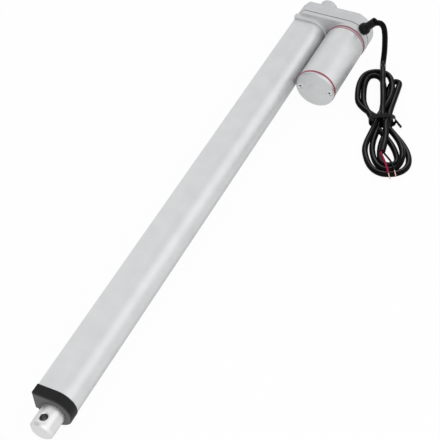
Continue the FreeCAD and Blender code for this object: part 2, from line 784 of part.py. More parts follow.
# Spindle with its bearing
turned("lead_screw", [
    ("second_rear", "0"), ("screw_front", "0"), ("screw_front", "screw_journal"),
    ("guide_rear", "screw_journal"), ("guide_rear", "screw_radius"),
    ("shoulder_front", "screw_radius"), ("shoulder_front", "screw_shoulder"),
    ("bearing_front", "screw_shoulder"), ("bearing_front", "screw_journal"),
    ("second_rear", "screw_journal")])
ring("spindle_end_guide", "guide_rear", "screw_front", "screw_journal", "guide_radius")
gear("spindle_gear", "second_wheel_teeth", "second_module", 0, "second_rear", "second_face",
     "screw_journal", "0", ("hub_radius", "bearing_rear"))


def race():
    """The ball track shared by both bearing rings."""
    torus = doc.addObject("Part::Torus", "race")
    torus.Placement = FreeCAD.Placement(V(0, 0, 0), FreeCAD.Rotation(V(0, 0, 1), V(1, 0, 0)))
    torus.setExpression("Radius1", formula("ball_circle"))
    torus.setExpression("Radius2", formula("ball_radius + running_gap / 2"))
    place(torus, "bearing_middle", "0", "0")
    return torus


def sleeve(rear, length, inner, outer):
    along = V(1, 0, 0)
    return cut(rod(rear, "0", "0", outer, length, along), rod(rear, "0", "0", inner, length, along))


def balls(extra):
    pieces = []
    for k in range(SIZES["ball_count"]):
        ball = doc.addObject("Part::Sphere", "ball")
        ball.setExpression("Radius", formula(f"ball_radius + {extra}"))
        angle = f"{k} * 360 deg / ball_count"
        place(ball, "bearing_middle", f"ball_circle * cos({angle})", f"ball_circle * sin({angle})")
        pieces.append(ball)
    return pieces


outer_blank = sleeve("bearing_rear", "bearing_width", "outer_race", "bearing_outer")
keep(cut(outer_blank, race()), "bearing_outer_ring")
inner_blank = sleeve("bearing_rear", "bearing_width", "screw_journal", "inner_race")
keep(cut(inner_blank, race()), "bearing_inner_ring")
group("bearing_balls", balls("0"))
cage_ring = sleeve("bearing_rear + cage_setback", "bearing_width - 2 * cage_setback",
                   "ball_circle - bearing_ring / 2", "ball_circle + bearing_ring / 2")
keep(cut(cage_ring, fuse(*balls("running_gap"))), "bearing_cage")
ring("bearing_retainer", "bearing_front", "retainer_front", "retainer_bore", "tube_bore - slip_gap")

# Idler between motor and spindle
gear("idler_wheel", "first_wheel_teeth", "first_module", 0, "first_rear", "first_face",
     "axle_radius + running_gap", "centre_step")
gear("idler_pinion", "second_pinion_teeth", "second_module", math.pi / SIZES["second_pinion_teeth"],
     "first_front", "second_face + gear_gap + pinion_overlap", "axle_radius + running_gap", "centre_step")
turned("idler_axle", [
    ("axle_rear", "0"), ("axle_front", "0"), ("axle_front", "axle_radius"), ("axle_rear", "axle_radius")],
    "centre_step")

# Motor shell
ring("motor_rear_seal", "socket_front", "sleeve_rear", "sleeve_bore", "sleeve_radius", "motor_offset")
ring("motor_sleeve", "sleeve_rear", "sleeve_front", "sleeve_bore", "sleeve_radius", "motor_offset")
ring("motor_front_seal", "sleeve_front", "end_cap_rear", "sleeve_bore", "sleeve_radius", "motor_offset")
end_cap = turned("motor_end_cap", [
    ("front_bush_rear", "motor_bush_radius"), ("end_cap_rear", "motor_bush_radius"), ("end_cap_rear", "0"),
    ("end_cap_front + boss_height", "0"), ("end_cap_front + boss_height", "boss_radius"),
    ("end_cap_front", "boss_radius"), ("end_cap_front", "sleeve_radius - end_cap_edge"),
    ("end_cap_front - end_cap_edge", "sleeve_radius"), ("end_cap_rear", "sleeve_radius"),
    ("end_cap_rear", "bush_boss"), ("front_bush_rear", "bush_boss")], "motor_offset")
drill(end_cap, "end_cap_front", "tie_head_height", "tie_head_radius + slip_gap", TIE_SCREWS)
drill(end_cap, "end_cap_front", "end_cap_thickness", "tie_radius + slip_gap", TIE_SCREWS)
tie_screws = []
for across, up in TIE_SCREWS:
    tie_screws.append(socket_screw(
        "end_cap_front", across, up, "tie_head_radius", "tie_head_height", "tie_radius",
        "tie_head_rear - plate_front + tie_bite", False))
group("motor_tie_screws", tie_screws)
ring("motor_rear_bush", "plate_rear", "plate_rear + motor_bush_length", "motor_shaft_radius + running_gap",
     "motor_bush_radius", "motor_offset")
ring("motor_front_bush", "front_bush_rear", "end_cap_rear", "motor_shaft_radius + running_gap",
     "motor_bush_radius", "motor_offset")
ring("motor_flux_ring", "sleeve_rear + flux_setback", "commutator_front", "flux_inner", "flux_outer",
     "motor_offset")


def magnet(turn):
    """One curved magnet against the flux ring, its middle turned about the motor axis."""
    quarter = FreeCAD.Rotation(V(0, 1, 0), 90)
    solids = []
    for radius in ("flux_inner", "magnet_inner"):
        piece = doc.addObject("Part::Cylinder", "arc")
        piece.Placement = FreeCAD.Placement(V(0, 0, 0), FreeCAD.Rotation(V(1, 0, 0), turn) * quarter)
        piece.setExpression("Radius", formula(radius))
        piece.setExpression("Height", formula("stack_length"))
        piece.setExpression("Angle", formula("magnet_angle"))
        place(piece, "stack_rear", "motor_offset", "0")
        solids.append(piece)
    return cut(*solids)


half_arc = SIZES["magnet_angle"] / 2
group("motor_magnets", [magnet(180 - half_arc), magnet(-half_arc)])
brush_plate = ring("brush_plate", "brush_plate_rear", "brush_plate_rear + brush_plate_thickness",
                   "bush_boss + free_gap", "sleeve_bore - slip_gap", "motor_offset")
drill(brush_plate, "brush_plate_rear + brush_plate_thickness", "brush_plate_thickness",
      "tie_radius + free_gap", TIE_SCREWS)
brush_run = "brush_plate_rear - brush_rear"
group("motor_brushes", [
    block("brush_rear", "motor_offset + brush_reach", "0 - brush_width / 2", brush_run,
          "brush_length", "brush_width"),
    block("brush_rear", "motor_offset - brush_reach - brush_length", "0 - brush_width / 2", brush_run,
          "brush_length", "brush_width")])

# Rotor
turned("motor_shaft", [
    ("first_rear - pinion_overlap", "0"), ("end_cap_rear - free_gap", "0"),
    ("end_cap_rear - free_gap", "motor_shaft_radius"), ("first_rear - pinion_overlap", "motor_shaft_radius")],
    "motor_offset")
gear("motor_pinion", "first_pinion_teeth", "first_module", math.pi / SIZES["first_pinion_teeth"],
     "first_rear - pinion_overlap / 2", "first_face + pinion_overlap", "motor_shaft_radius", "motor_offset")
stack = new_body("armature_stack")
blank = sketch_on(stack, "YZ_Plane", "stack_rear", side="motor_offset")
circle(blank, "stack_radius")
circle(blank, "motor_shaft_radius")
pad(stack, blank, "stack_length")
slot = sketch_on(stack, "YZ_Plane", "stack_front", side="motor_offset")
circle(slot, "slot_radius", "0", "stack_radius - slot_depth")
first_slot = pocket(stack, slot, "stack_length")
slots = stack.newObject("PartDesign::PolarPattern", "slots")
slots.Originals = [first_slot]
slots.Axis = (slot, ["N_Axis"])
slots.Angle = 360
slots.setExpression("Occurrences", formula("slot_count"))
stack.Tip = slots
windings = []
for start in ("stack_rear - winding_length", "stack_front"):
    outer = rod(start, "motor_offset", "0", "winding_outer", "winding_length", V(1, 0, 0))
    inner = rod(start, "motor_offset", "0", "winding_inner", "winding_length", V(1, 0, 0))
    windings.append(cut(outer, inner))
group("armature_windings", windings)
ring("commutator", "commutator_rear", "commutator_front", "motor_shaft_radius", "commutator_radius",
     "motor_offset")

# Limit switches in the square channel of the tube
keep(block("board_rear", "0 - board_face - board_thickness", "board_base", "board_front - board_rear",
           "board_thickness", "board_width"), "limit_switch_board")
for name, start in (("rear", "rear_switch_x"), ("front", "front_switch_x")):
    middle = f"{start} + switch_length / 2"
    case = block(start, "0 - board_face", "switch_base", "switch_length", "switch_width", "switch_height")
    well = rod(middle, "0 - plunger_y", "switch_base", "plunger_radius + slip_gap",
               "plunger_length", V(0, 0, 1))
    keep(cut(case, well), f"{name}_limit_switch")
    keep(rod(middle, "0 - plunger_y", "switch_base - plunger_showing", "plunger_radius", "plunger_length",
             V(0, 0, 1)), f"{name}_switch_plunger")

# Cable grommet on the round end, half in each casting
out = V(0, math.cos(math.radians(number("grommet_angle"))), math.sin(math.radians(number("grommet_angle"))))
lean = V(0, math.cos(math.radians(number("grommet_tilt"))), math.sin(math.radians(number("grommet_tilt"))))


def radial(distance):
    """A point on the grommet's axis, measured out from the motor axis."""
    return ("parting", f"motor_offset + ({distance}) * cos(grommet_angle * 1 deg)",
            f"({distance}) * sin(grommet_angle * 1 deg)")


stem_length = "gear_wall + grommet_inside + dome_rise / 2"
stem = rod(*radial("grommet_wall - grommet_inside"), "grommet_hole", stem_length, out)
dome = doc.addObject("Part::Sphere", "dome")
dome.setExpression("Radius", formula("grommet_radius"))
place(dome, *radial("dome_middle"))
neck = rod(*radial("dome_middle"), "grommet_neck_radius", "grommet_neck", lean)
case_length = "socket_front - cover_setback"
case_round = rod("cover_setback", "motor_offset", "0", "gear_half", case_length, V(1, 0, 0))
outside = cut(fuse(dome, neck), case_round)
hollow_x, hollow_y, hollow_z = radial("dome_middle")
depth = "(grommet_neck - cable_grip)"
bore = rod(hollow_x, f"{hollow_y} + {depth} * cos(grommet_tilt * 1 deg)",
           f"{hollow_z} + {depth} * sin(grommet_tilt * 1 deg)", "cable_radius", "cable_grip", lean)
keep(cut(fuse(stem, outside), bore), "cable_grommet")

# Cable, its hank and its leads, laid on the floor beside the actuator
CABLE_ROUTE = [(28.2, 60.1193, 23.9217), (28.2, 65.807, 30.2384), (28.2, 72.6, 26.0), (28.0, 74.2, 8.0),
               (27.6, 74.0, -8.0), (29.6, 74.2, -17.0), (36.6, 76.0, -14.6)]
TAIL_ROUTE = [(121.6, 110.4, -9.6), (136.0, 117.5, -11.4), (155.7, 120.8, -11.6)]
RED_ROUTE = [(156.6, 119.8, -11.6), (164.0, 124.4, -9.2), (172.0, 131.0, -9.6), (179.5, 136.0, -11.2)]
BLACK_ROUTE = [(156.4, 122.0, -11.4), (162.0, 127.4, -9.0), (168.0, 135.0, -9.4), (174.6, 139.6, -10.6)]
RED_TIP = [(179.6, 136.06, -11.23), (182.2, 137.6, -11.9), (185.0, 139.7, -12.6)]
BLACK_TIP = [(174.7, 139.68, -10.62), (177.0, 141.3, -11.2), (179.4, 142.7, -12.0)]
cord("cable", CABLE_ROUTE, number("cable_radius"))
cord("cable_tail", TAIL_ROUTE, number("cable_radius"))
cord("red_lead", RED_ROUTE, number("lead_radius"))
cord("black_lead", BLACK_ROUTE, number("lead_radius"))
cord("red_tip", RED_TIP, number("tip_radius"))
cord("black_tip", BLACK_TIP, number("tip_radius"))


def loop(middle, turn, long_half, short_half):
    """One flat oval loop of the hank, its strands taken together."""
    strand, height = number("hank_strand"), number("hank_height")
    level = number("hank_lift - floor_level")
    shapes = []
    for inset in (0, strand):
        oval = Part.Ellipse(V(0, 0, 0), long_half - inset, short_half - inset)
        face = Part.Face(Part.Wire(oval.toShape()))
        shapes.append(face.extrude(V(0, 0, height)))
    shape = shapes[0].cut(shapes[1])
    shape.Placement = FreeCAD.Placement(V(*middle, level), FreeCAD.Rotation(V(0, 0, 1), turn))
    return shape


# Each loop's middle, turn, half length and half width
HANK_LOOPS = [((76.3, 86.0), 20, 40, 24), ((147.3, 121.3), 26.5, 41, 23)]
HANK_TURN = 23
TIE_MIDDLE = (115.4, 105.1)
TWIST_WAY = V(0.5, 1, 0)
span, height = number("tie_span"), number("tie_height")
band, width = number("tie_band"), number("tie_width")
corner = V(-width / 2, -span / 2, -number("floor_level"))
outer = Part.makeBox(width, span, height, corner)
inner = Part.makeBox(width, span - 2 * band, height - 2 * band, corner + V(0, band, band))
twist_start = V(0, span / 2 - number("twist_inset"), height - number("floor_level"))
twist = Part.makeCylinder(band, number("twist_length"), twist_start, TWIST_WAY)
tie_band = outer.cut(inner).fuse(twist)
tie_band.Placement = FreeCAD.Placement(V(*TIE_MIDDLE, 0), FreeCAD.Rotation(V(0, 0, 1), HANK_TURN))
twist_tie = keep(doc.addObject("Part::Feature", "twist_tie_band"), "twist_tie")
twist_tie.Shape = tie_band
hank = keep(doc.addObject("Part::Feature", "cable_hank_loops"), "cable_hank")
first_loop, second_loop = [loop(*spec) for spec in HANK_LOOPS]
hank.Shape = first_loop.fuse(second_loop).cut(tie_band)

doc.removeObject(scratch.Name)
doc.recompute()
os.makedirs("parts", exist_ok=True)
for piece in PIECES:
    if "Invalid" in piece.State or "Error" in piece.State:
        raise RuntimeError(f"{piece.Label} did not build: {piece.State}")
    if piece.Shape.isNull() or not piece.Shape.isValid():
        raise RuntimeError(f"{piece.Label} has no valid shape")
for piece in PIECES:
    piece.Shape.exportStep(f"parts/{piece.Label}.step")
    print(piece.Label, len(piece.Shape.Solids), round(piece.Shape.Volume, 1))
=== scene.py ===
"""Looks of an electric linear actuator: finishes, cable, tie, thread and a white studio."""
import json
import math

import bmesh
import bpy
from mathutils import Matrix, Vector


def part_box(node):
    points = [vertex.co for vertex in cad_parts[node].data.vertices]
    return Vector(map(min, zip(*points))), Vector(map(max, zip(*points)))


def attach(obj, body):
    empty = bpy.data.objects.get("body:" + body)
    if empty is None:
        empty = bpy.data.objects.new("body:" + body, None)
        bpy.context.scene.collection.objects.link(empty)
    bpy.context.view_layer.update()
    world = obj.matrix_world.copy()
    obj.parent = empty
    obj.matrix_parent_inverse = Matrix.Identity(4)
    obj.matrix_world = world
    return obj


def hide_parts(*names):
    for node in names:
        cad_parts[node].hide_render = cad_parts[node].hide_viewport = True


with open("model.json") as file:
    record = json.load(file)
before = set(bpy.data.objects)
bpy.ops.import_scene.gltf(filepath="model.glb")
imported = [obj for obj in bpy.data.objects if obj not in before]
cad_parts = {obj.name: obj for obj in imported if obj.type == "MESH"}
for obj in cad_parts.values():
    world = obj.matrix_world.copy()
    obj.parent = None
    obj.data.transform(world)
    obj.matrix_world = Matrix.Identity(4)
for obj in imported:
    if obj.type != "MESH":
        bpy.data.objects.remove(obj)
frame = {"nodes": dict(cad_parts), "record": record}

bl_info = {
    "name": "Linear actuator looks",
    "version": (1, 0, 0),
    "blender": (4, 5, 0),
    "location": "View3D > Sidebar > Actuator",
    "description": "Finishes, cable, thread and stage for an electric linear actuator",
    "category": "Object",
}

MM = 0.001
MOUNTS = {mount["name"]: mount for mount in frame["record"]["mounts"]}
ROD_HOLE = MOUNTS["rod_eye"]["pos_m"][0]
ROD_HOLE_RADIUS = MOUNTS["rod_eye"]["dims"]["r_mm"] * MM
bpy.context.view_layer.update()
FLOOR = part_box("gearbox_cover")[0].z
RING_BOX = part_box("motor_rear_seal")
MOTOR_MIDDLE = (RING_BOX[0].y + RING_BOX[1].y) / 2
RING_VALLEY = RING_BOX[1].z - 0.35 * MM
TIE_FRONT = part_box("motor_tie_screws")[1].x

# Routes in millimetres: grommet to hank, hank to tie, tail, leads and stripped ends
CABLE_ROUTE = [(28.2, 60.1193, 23.9217), (28.2, 64.3, 25.7), (28.2, 68.4, 26.6), (28.1, 71.8, 23.2),
               (28.0, 73.2, 14.0), (27.9, 73.4, 2.0), (29.0, 73.6, -8.0), (34.0, 74.6, -14.2),
               (41.0, 76.8, -14.2)]
MAIN_ROUTE = [(48.0, 79.6, -10.8), (66.0, 86.5, -10.4), (92.0, 97.0, -9.8)]
TAIL_ROUTE = [(121.6, 110.4, -9.6), (136.0, 117.5, -11.4), (155.7, 120.8, -11.6)]
# The leads start inside the tail's end
RED_ROUTE = [(152.0, 118.6, -11.8), (156.6, 119.8, -11.6), (164.0, 124.4, -9.2), (172.0, 131.0, -9.6),
             (179.5, 136.0, -11.2)]
BLACK_ROUTE = [(150.0, 120.6, -11.4), (156.4, 122.0, -11.4), (162.0, 127.4, -9.0), (168.0, 135.0, -9.4),
               (174.6, 139.6, -10.6)]
RED_TIP = [(179.6, 136.06, -11.23), (182.2, 137.6, -11.9), (185.0, 139.7, -12.6)]
BLACK_TIP = [(174.7, 139.68, -10.62), (177.0, 141.3, -11.2), (179.4, 142.7, -12.0)]

# The hank: its tie, then each bight as heading, length, the side that it starts on, the side that it ends on and
# the height of its top. A side is how far it bulges, where along the length it is widest, and its height.
TIE_MIDDLE = Vector((115.4, 105.1))
TIE_HEADING = 24.3
BIGHTS = [
    (26.9, 67.0, (19.6, 0.7, 2.8), (-19.4, 0.55, 2.8), 2.8),
    (202.5, 75.0, (10.8, 0.62, 8.4), (-22.6, 0.47, 2.8), 2.8),
    (26.9, 61.2, (14.0, 0.7, 8.0), (-12.6, 0.6, 2.8), 2.8),
    (202.5, 69.4, (3.0, 0.74, 2.8), (-16.8, 0.5, 2.8), 2.8),
    (27.6, 55.4, (8.4, 0.84, 2.8), (-7.0, 0.82, 2.8), 2.8),
    (188.8, 58.4, (-4.0, 0.88, 2.8), (5.0, 0.88, 7.0), 5.5),
]
# Where the strands pass through the tie, across and up
LANES = [(0.0, 8.6), (-5.6, 8.6), (2.8, 3.8), (-2.8, 3.8), (-8.4, 3.8), (8.4, 3.8), (5.6, 8.6)]
# Points on a bight's side and round its top, and how full these curves are
SIDE_POINTS = 5
ROUND_POINTS = 4
SIDE_FULLNESS = 1.25
ROUND_FULLNESS = 0.85
# The tie's loop: half sizes in millimetres, squareness, turns and reach along the hank
TIE_HALF_WIDTH = 12.2
TIE_HALF_HEIGHT = 5.9
TIE_SQUARENESS = 0.8
TIE_TURNS = 2
TIE_REACH = 5.0 * MM
TIE_STEPS = 96
# The tie's twisted end: direction across, along and up, turns and thickness against the strip's
TWIST_WAY = (0.55, 0.8, -0.25)
TWIST_TURNS = 2.5
TWIST_STEPS = 40
TWIST_THICKER = 1.6
STRIP_SECTION = [(-0.5, -0.3), (-0.35, -0.5), (0.35, -0.5), (0.5, -0.3), (0.5, 0.3), (0.2, 0.5), (-0.2, 0.5),
                 (-0.5, 0.3)]

# Where the screws stand, across and up, in millimetres
CASE_SCREWS = [(-13.2, 13.2), (-13.2, -13.2), (40.232, 15.793), (40.232, -15.793)]
TIE_SCREWS = [(21.2, 0.0), (50.8, 0.0)]
SCREW_SIZES = ("Head radius", "Head height", "Key radius", "Key depth", "Shank radius", "Shank length", "Facing")
# Radius and depth of a screw's socket as shares of its head's
CASE_KEY = (0.55, 0.7)
TIE_KEY = (0.5, 0.8)
# Play round a motor screw's head, and the depth below which the screw is painted darker as shade in its recess
TIE_HEAD_PLAY = 0.1 * MM
SOCKET_SHADE = 0.55 * MM
# The thread's profile in one lead: share of the lead, and share of the depth
THREAD_PROFILE = ((0.0, 0), (0.18, 0), (0.32, 1), (0.68, 1), (0.82, 0))

# Pieces whose finish is finer than their slot's
OWN_FINISH = {"cable_grommet": "grommet_rubber", "front_cap": "cap_plastic"}

# Finishes: usual range of a noise, mottling, drawn grain, fades of masks, and colours
NOISE_SPAN = (0.3, 0.7)
METAL_MOTTLE = 60
MOULD_MOTTLE = 200
DRAWN = (0.03, 1, 1)
RADIUS_FADE = 0.06 * MM
LEVEL_FADE = 0.1 * MM
ZINC = (0.75, 0.75, 0.76)
# Painted shade inside the rod's cross hole
HOLE_PAINTED_SHADE = (0.36, 0.36, 0.36)
# Painted shade low on the motor screws, down in their recesses
SOCKET_PAINTED_SHADE = (0.22, 0.22, 0.23)

# The studio's floor and soft light
FLOOR_HALF_WIDTH = 6
FLOOR_GAP = 0.2 * MM
PAPER = (0.9, 0.9, 0.9, 1)
SENSOR_WIDTH = 36
SOFTBOX_TARGET = Vector((0.28, 0.02, 0))
SOFTBOX_OFFSET = Vector((1.6, 0.5, 1.2))
SOFTBOX_WIDTH = 2.4
SOFTBOX_POWER = 4
# Soft panels of the studio: direction, outer and inner half width in degrees, added level
PANELS = [
    ((0.0, 0.0, 1.0), 60, 20, 0.25),
    ((-0.6, -0.345, 0.725), 30, 8, 0.22),
    ((-0.6, -0.73, 0.33), 36, 10, 0.4),
    ((-0.6, 0.64, 0.48), 34, 8, 0.9),
    ((0.76, 0.5, 0.38), 50, 14, 0.6),
]


class CableSizes(bpy.types.PropertyGroup):
    """Sizes of the cable, its leads and its tie."""
    cable_diameter: bpy.props.FloatProperty(
        name="Cable", description="Outer diameter of the jacket", default=5.6 * MM, unit="LENGTH")
    lead_diameter: bpy.props.FloatProperty(
        name="Lead", description="Diameter of an insulated lead", default=1.8 * MM, unit="LENGTH")
    core_diameter: bpy.props.FloatProperty(
        name="Core", description="Diameter of a stripped, twisted end", default=1.0 * MM, unit="LENGTH")
    tie_width: bpy.props.FloatProperty(
        name="Tie width", description="Width of the tie's strip", default=2.4 * MM, unit="LENGTH")
    tie_thickness: bpy.props.FloatProperty(
        name="Tie thickness", description="Thickness of the tie's strip", default=0.9 * MM, unit="LENGTH")
    tie_tail: bpy.props.FloatProperty(
        name="Tie end", description="Length of the twisted end", default=9.0 * MM, unit="LENGTH")


class RodSizes(bpy.types.PropertyGroup):
    """Edges of the rod's end."""
    chamfer: bpy.props.FloatProperty(
        name="Chamfer", description="Chamfer of the rod's tip", default=2.0 * MM, unit="LENGTH")
    countersink: bpy.props.FloatProperty(
        name="Countersink", description="Countersink of the pin hole", default=1.0 * MM, unit="LENGTH")
    wall: bpy.props.FloatProperty(
        name="Wall", description="Wall of the tube behind the solid end", default=2.5 * MM, unit="LENGTH")


class MotorSizes(bpy.types.PropertyGroup):
    """Edges of the motor's end disc and lips of its rings."""
    rim: bpy.props.FloatProperty(
        name="Rim", description="Chamfer round the end disc", default=0.9 * MM, unit="LENGTH")
    boss: bpy.props.FloatProperty(
        name="Boss", description="Radius of the plain boss", default=6.0 * MM, unit="LENGTH")
    boss_height: bpy.props.FloatProperty(
        name="Boss height", description="Height of the plain boss", default=0.3 * MM, unit="LENGTH")
    lip: bpy.props.FloatProperty(
        name="Lip", description="Width of each lip of a ring", default=0.9 * MM, unit="LENGTH")
    bead: bpy.props.FloatProperty(
        name="Bead", description="How far the narrow ring reaches over the end disc", default=0.55 * MM,
        unit="LENGTH")
    valley: bpy.props.FloatProperty(
        name="Valley", description="Depth between the lips of a ring", default=RING_BOX[1].z - RING_VALLEY,
        unit="LENGTH")


class ScrewSizes(bpy.types.PropertyGroup):
    """Sizes of the gearbox's screws and of the motor's two screws."""
    case_head: bpy.props.FloatProperty(
        name="Gearbox screw head", description="Radius of a gearbox screw's head", default=3.0 * MM, unit="LENGTH")
    case_head_height: bpy.props.FloatProperty(
        name="Gearbox screw head height", description="Height of that head", default=2.0 * MM, unit="LENGTH")
    case_shank: bpy.props.FloatProperty(
        name="Gearbox screw shank", description="Radius of that shank", default=1.6 * MM, unit="LENGTH")
    tie_head: bpy.props.FloatProperty(
        name="Motor screw head", description="Radius of a motor screw's head", default=2.6 * MM, unit="LENGTH")
    tie_head_height: bpy.props.FloatProperty(
        name="Motor screw head height", description="Height of that head", default=1.3 * MM, unit="LENGTH")
    tie_shank: bpy.props.FloatProperty(
        name="Motor screw shank", description="Radius of that shank", default=1.5 * MM, unit="LENGTH")
    tie_sink: bpy.props.FloatProperty(
        name="Motor screw recess", description="Depth of the recess in the end disc", default=1.8 * MM,
        unit="LENGTH")


class GasketSizes(bpy.types.PropertyGroup):
    """How far the gearbox's gasket is squeezed out."""
    outward: bpy.props.FloatProperty(
        name="Outward", description="Past its outline", default=0.4 * MM, unit="LENGTH")
    sideways: bpy.props.FloatProperty(
        name="Sideways", description="Over each casting's edge", default=0.12 * MM, unit="LENGTH")


class ThreadSizes(bpy.types.PropertyGroup):
    """Sizes of the lead screw's thread."""
    lead: bpy.props.FloatProperty(
        name="Lead", description="Travel of the nut in one turn", default=4.0 * MM, unit="LENGTH")
    depth: bpy.props.FloatProperty(
        name="Depth", description="Depth of the thread", default=1.0 * MM, unit="LENGTH")


class FinishColours(bpy.types.PropertyGroup):
    """Colours of the finishes."""
    tube: bpy.props.FloatVectorProperty(
        name="Tube", description="Anodised tube", default=(0.72, 0.73, 0.735), subtype="COLOR")
    casting: bpy.props.FloatVectorProperty(
        name="Casting", description="Gearbox castings", default=(0.61, 0.62, 0.63), subtype="COLOR")
    motor: bpy.props.FloatVectorProperty(
        name="Motor", description="Motor shell", default=(0.72, 0.73, 0.735), subtype="COLOR")
    rod: bpy.props.FloatVectorProperty(
        name="Rod", description="Polished rod", default=(0.8, 0.8, 0.8), subtype="COLOR")
    cap: bpy.props.FloatVectorProperty(
        name="Cap", description="Black moulded pieces", default=(0.009, 0.009, 0.01), subtype="COLOR")
    # Painted sheen: the grey painted on the cap's front face, also used as the wiper's colour
    cap_front_painted_sheen: bpy.props.FloatVectorProperty(
        name="Cap front", description="Fine-grained front of the cap", default=(0.12, 0.12, 0.121), subtype="COLOR")
    disc: bpy.props.FloatVectorProperty(
        name="Motor disc", description="End disc of the motor", default=(0.62, 0.63, 0.635), subtype="COLOR")
    ring: bpy.props.FloatVectorProperty(
        name="Rings", description="Red rings of the motor", default=(0.31, 0.04, 0.075), subtype="COLOR")
    # Painted highlight: the pale pink-red painted between a ring's lips
    ring_valley_highlight: bpy.props.FloatVectorProperty(
        name="Ring valley", description="Dusty red between a ring's lips", default=(0.48, 0.38, 0.41),
        subtype="COLOR")
    jacket: bpy.props.FloatVectorProperty(
        name="Jacket", description="Cable jacket", default=(0.004, 0.004, 0.0045), subtype="COLOR")
    red_lead: bpy.props.FloatVectorProperty(
        name="Red lead", description="Red insulation", default=(0.32, 0.012, 0.05), subtype="COLOR")


class StageSettings(bpy.types.PropertyGroup):
    """The view and the studio."""
    azimuth: bpy.props.FloatProperty(
        name="Azimuth", description="Turn of the camera about Z", default=math.radians(120.042), subtype="ANGLE")
    elevation: bpy.props.FloatProperty(
        name="Elevation", description="Height of the camera", default=math.radians(46.477), subtype="ANGLE")
    roll: bpy.props.FloatProperty(
        name="Roll", description="Roll of the camera", default=math.radians(-5.292), subtype="ANGLE")
    lens: bpy.props.FloatProperty(
        name="Lens", description="Focal length in millimetres", default=105.26)
    place: bpy.props.FloatVectorProperty(
        name="Place", description="Where the camera stands", default=(0.955384, 0.407947, 0.799023),
        subtype="TRANSLATION", unit="LENGTH")
    world_level: bpy.props.FloatProperty(
        name="World", description="Level of the surrounding light", default=0.58)
    whiteness: bpy.props.FloatProperty(
        name="Whiteness", description="Share of plain white in the floor as the camera sees it",
        default=0.95, subtype="FACTOR")
    reflected_whiteness: bpy.props.FloatProperty(
        name="Reflected whiteness", description="Share of plain white in the floor as metal shows it",
        default=0.72, subtype="FACTOR")


# Nodes of a finish
def add_node(tree, kind, inputs=None, **settings):
    """A node with its settings, whose inputs take values or other nodes' outputs."""
    node = tree.nodes.new(kind)
    for name, value in settings.items():
        setattr(node, name, value)
    for key, value in (inputs or {}).items():
        if isinstance(value, bpy.types.NodeSocket):
            tree.links.new(value, node.inputs[key])
        else:
            node.inputs[key].default_value = value
    return node


def finish(name, metallic=0.0, gloss=0.5, edge=1.0):
    """The node tree of a new material: how metallic it is, its gloss and its level at a grazing view."""
    material = bpy.data.materials.new(f"{name}_finish")
    material.use_nodes = True
    given = material.node_tree.nodes["Principled BSDF"].inputs
    given["Metallic"].default_value = metallic
    given["Specular IOR Level"].default_value = gloss
    given["Specular Tint"].default_value = (edge, edge, edge, 1)
    return material.node_tree


def feed(tree, name, socket):
    """Link a socket to the shader's input of that name."""
    tree.links.new(socket, tree.nodes["Principled BSDF"].inputs[name])


def noise(tree, scale, stretch=(1, 1, 1), detail=3.0, coordinate="Object"):
    """A noise pattern in metres on the piece, stretched along its axes."""
    place = add_node(tree, "ShaderNodeTexCoord").outputs[coordinate]
    mapping = add_node(tree, "ShaderNodeMapping", {"Vector": place, "Scale": stretch})
    return add_node(tree, "ShaderNodeTexNoise", {
        "Vector": mapping.outputs["Vector"], "Scale": scale, "Detail": detail}).outputs["Fac"]


def one_axis(tree, coordinate, axis):
    """One axis of a texture coordinate."""
    place = add_node(tree, "ShaderNodeTexCoord").outputs[coordinate]
    return add_node(tree, "ShaderNodeSeparateXYZ", {"Vector": place}).outputs[axis]


def span(tree, value, low, high, to_low=0.0, to_high=1.0, shape="LINEAR"):
    """A value taken from one range to another and held at its ends."""
    return add_node(tree, "ShaderNodeMapRange", {
        "Value": value, "From Min": low, "From Max": high, "To Min": to_low, "To Max": to_high},
        interpolation_type=shape).outputs["Result"]


def product(tree, first, second):
    return add_node(tree, "ShaderNodeMath", {0: first, 1: second}, operation="MULTIPLY").outputs[0]


def blend(tree, value, low_colour, high_colour, low=0.0, high=1.0):
    """A colour between two, as a value goes from low to high."""
    ramp = add_node(tree, "ShaderNodeValToRGB", {"Fac": value})
    first, last = ramp.color_ramp.elements
    first.position, last.position = low, high
    first.color, last.color = (*low_colour, 1), (*high_colour, 1)
    return ramp.outputs["Color"]


def tint(tree, pattern, colour, spread):
    """Base colour that drifts a little darker and lighter with a pattern."""
    darker = [c * (1 - spread) for c in colour]
    lighter = [min(1, c * (1 + spread)) for c in colour]
    feed(tree, "Base Color", blend(tree, pattern, darker, lighter, *NOISE_SPAN))


def sheen_range(tree, pattern, low, high):
    """Roughness that drifts between two values with a pattern."""
    feed(tree, "Roughness", span(tree, pattern, *NOISE_SPAN, low, high))


def relief(tree, pattern, height):
    """Fine surface relief from a pattern, its height in metres."""
    bump = add_node(tree, "ShaderNodeBump", {"Height": pattern, "Distance": height})
    feed(tree, "Normal", bump.outputs["Normal"])


def worked_metal(name, colour, roughness, grain, stretch=(1, 1, 1), height=0.01 * MM, spread=0.03,
                 edge=0.7, metallic=1.0):
    """Metal with a grain, such as blasted, cast, turned or drawn."""
    tree = finish(name, metallic, edge=edge)
    pattern = noise(tree, grain, stretch)
    tint(tree, noise(tree, METAL_MOTTLE, detail=2.0), colour, spread)
    sheen_range(tree, pattern, roughness * 0.88, roughness * 1.12)
    relief(tree, pattern, height)
    return tree


def moulded(name, colour, roughness, grain=2500, height=0.02 * MM, spread=0.12, gloss=0.5):
    """Moulded plastic or rubber with a fine spark texture."""
    tree = finish(name, gloss=gloss)
    pattern = noise(tree, grain)
    tint(tree, noise(tree, MOULD_MOTTLE), colour, spread)
    sheen_range(tree, pattern, roughness * 0.9, roughness * 1.1)
    relief(tree, pattern, height)
    return tree


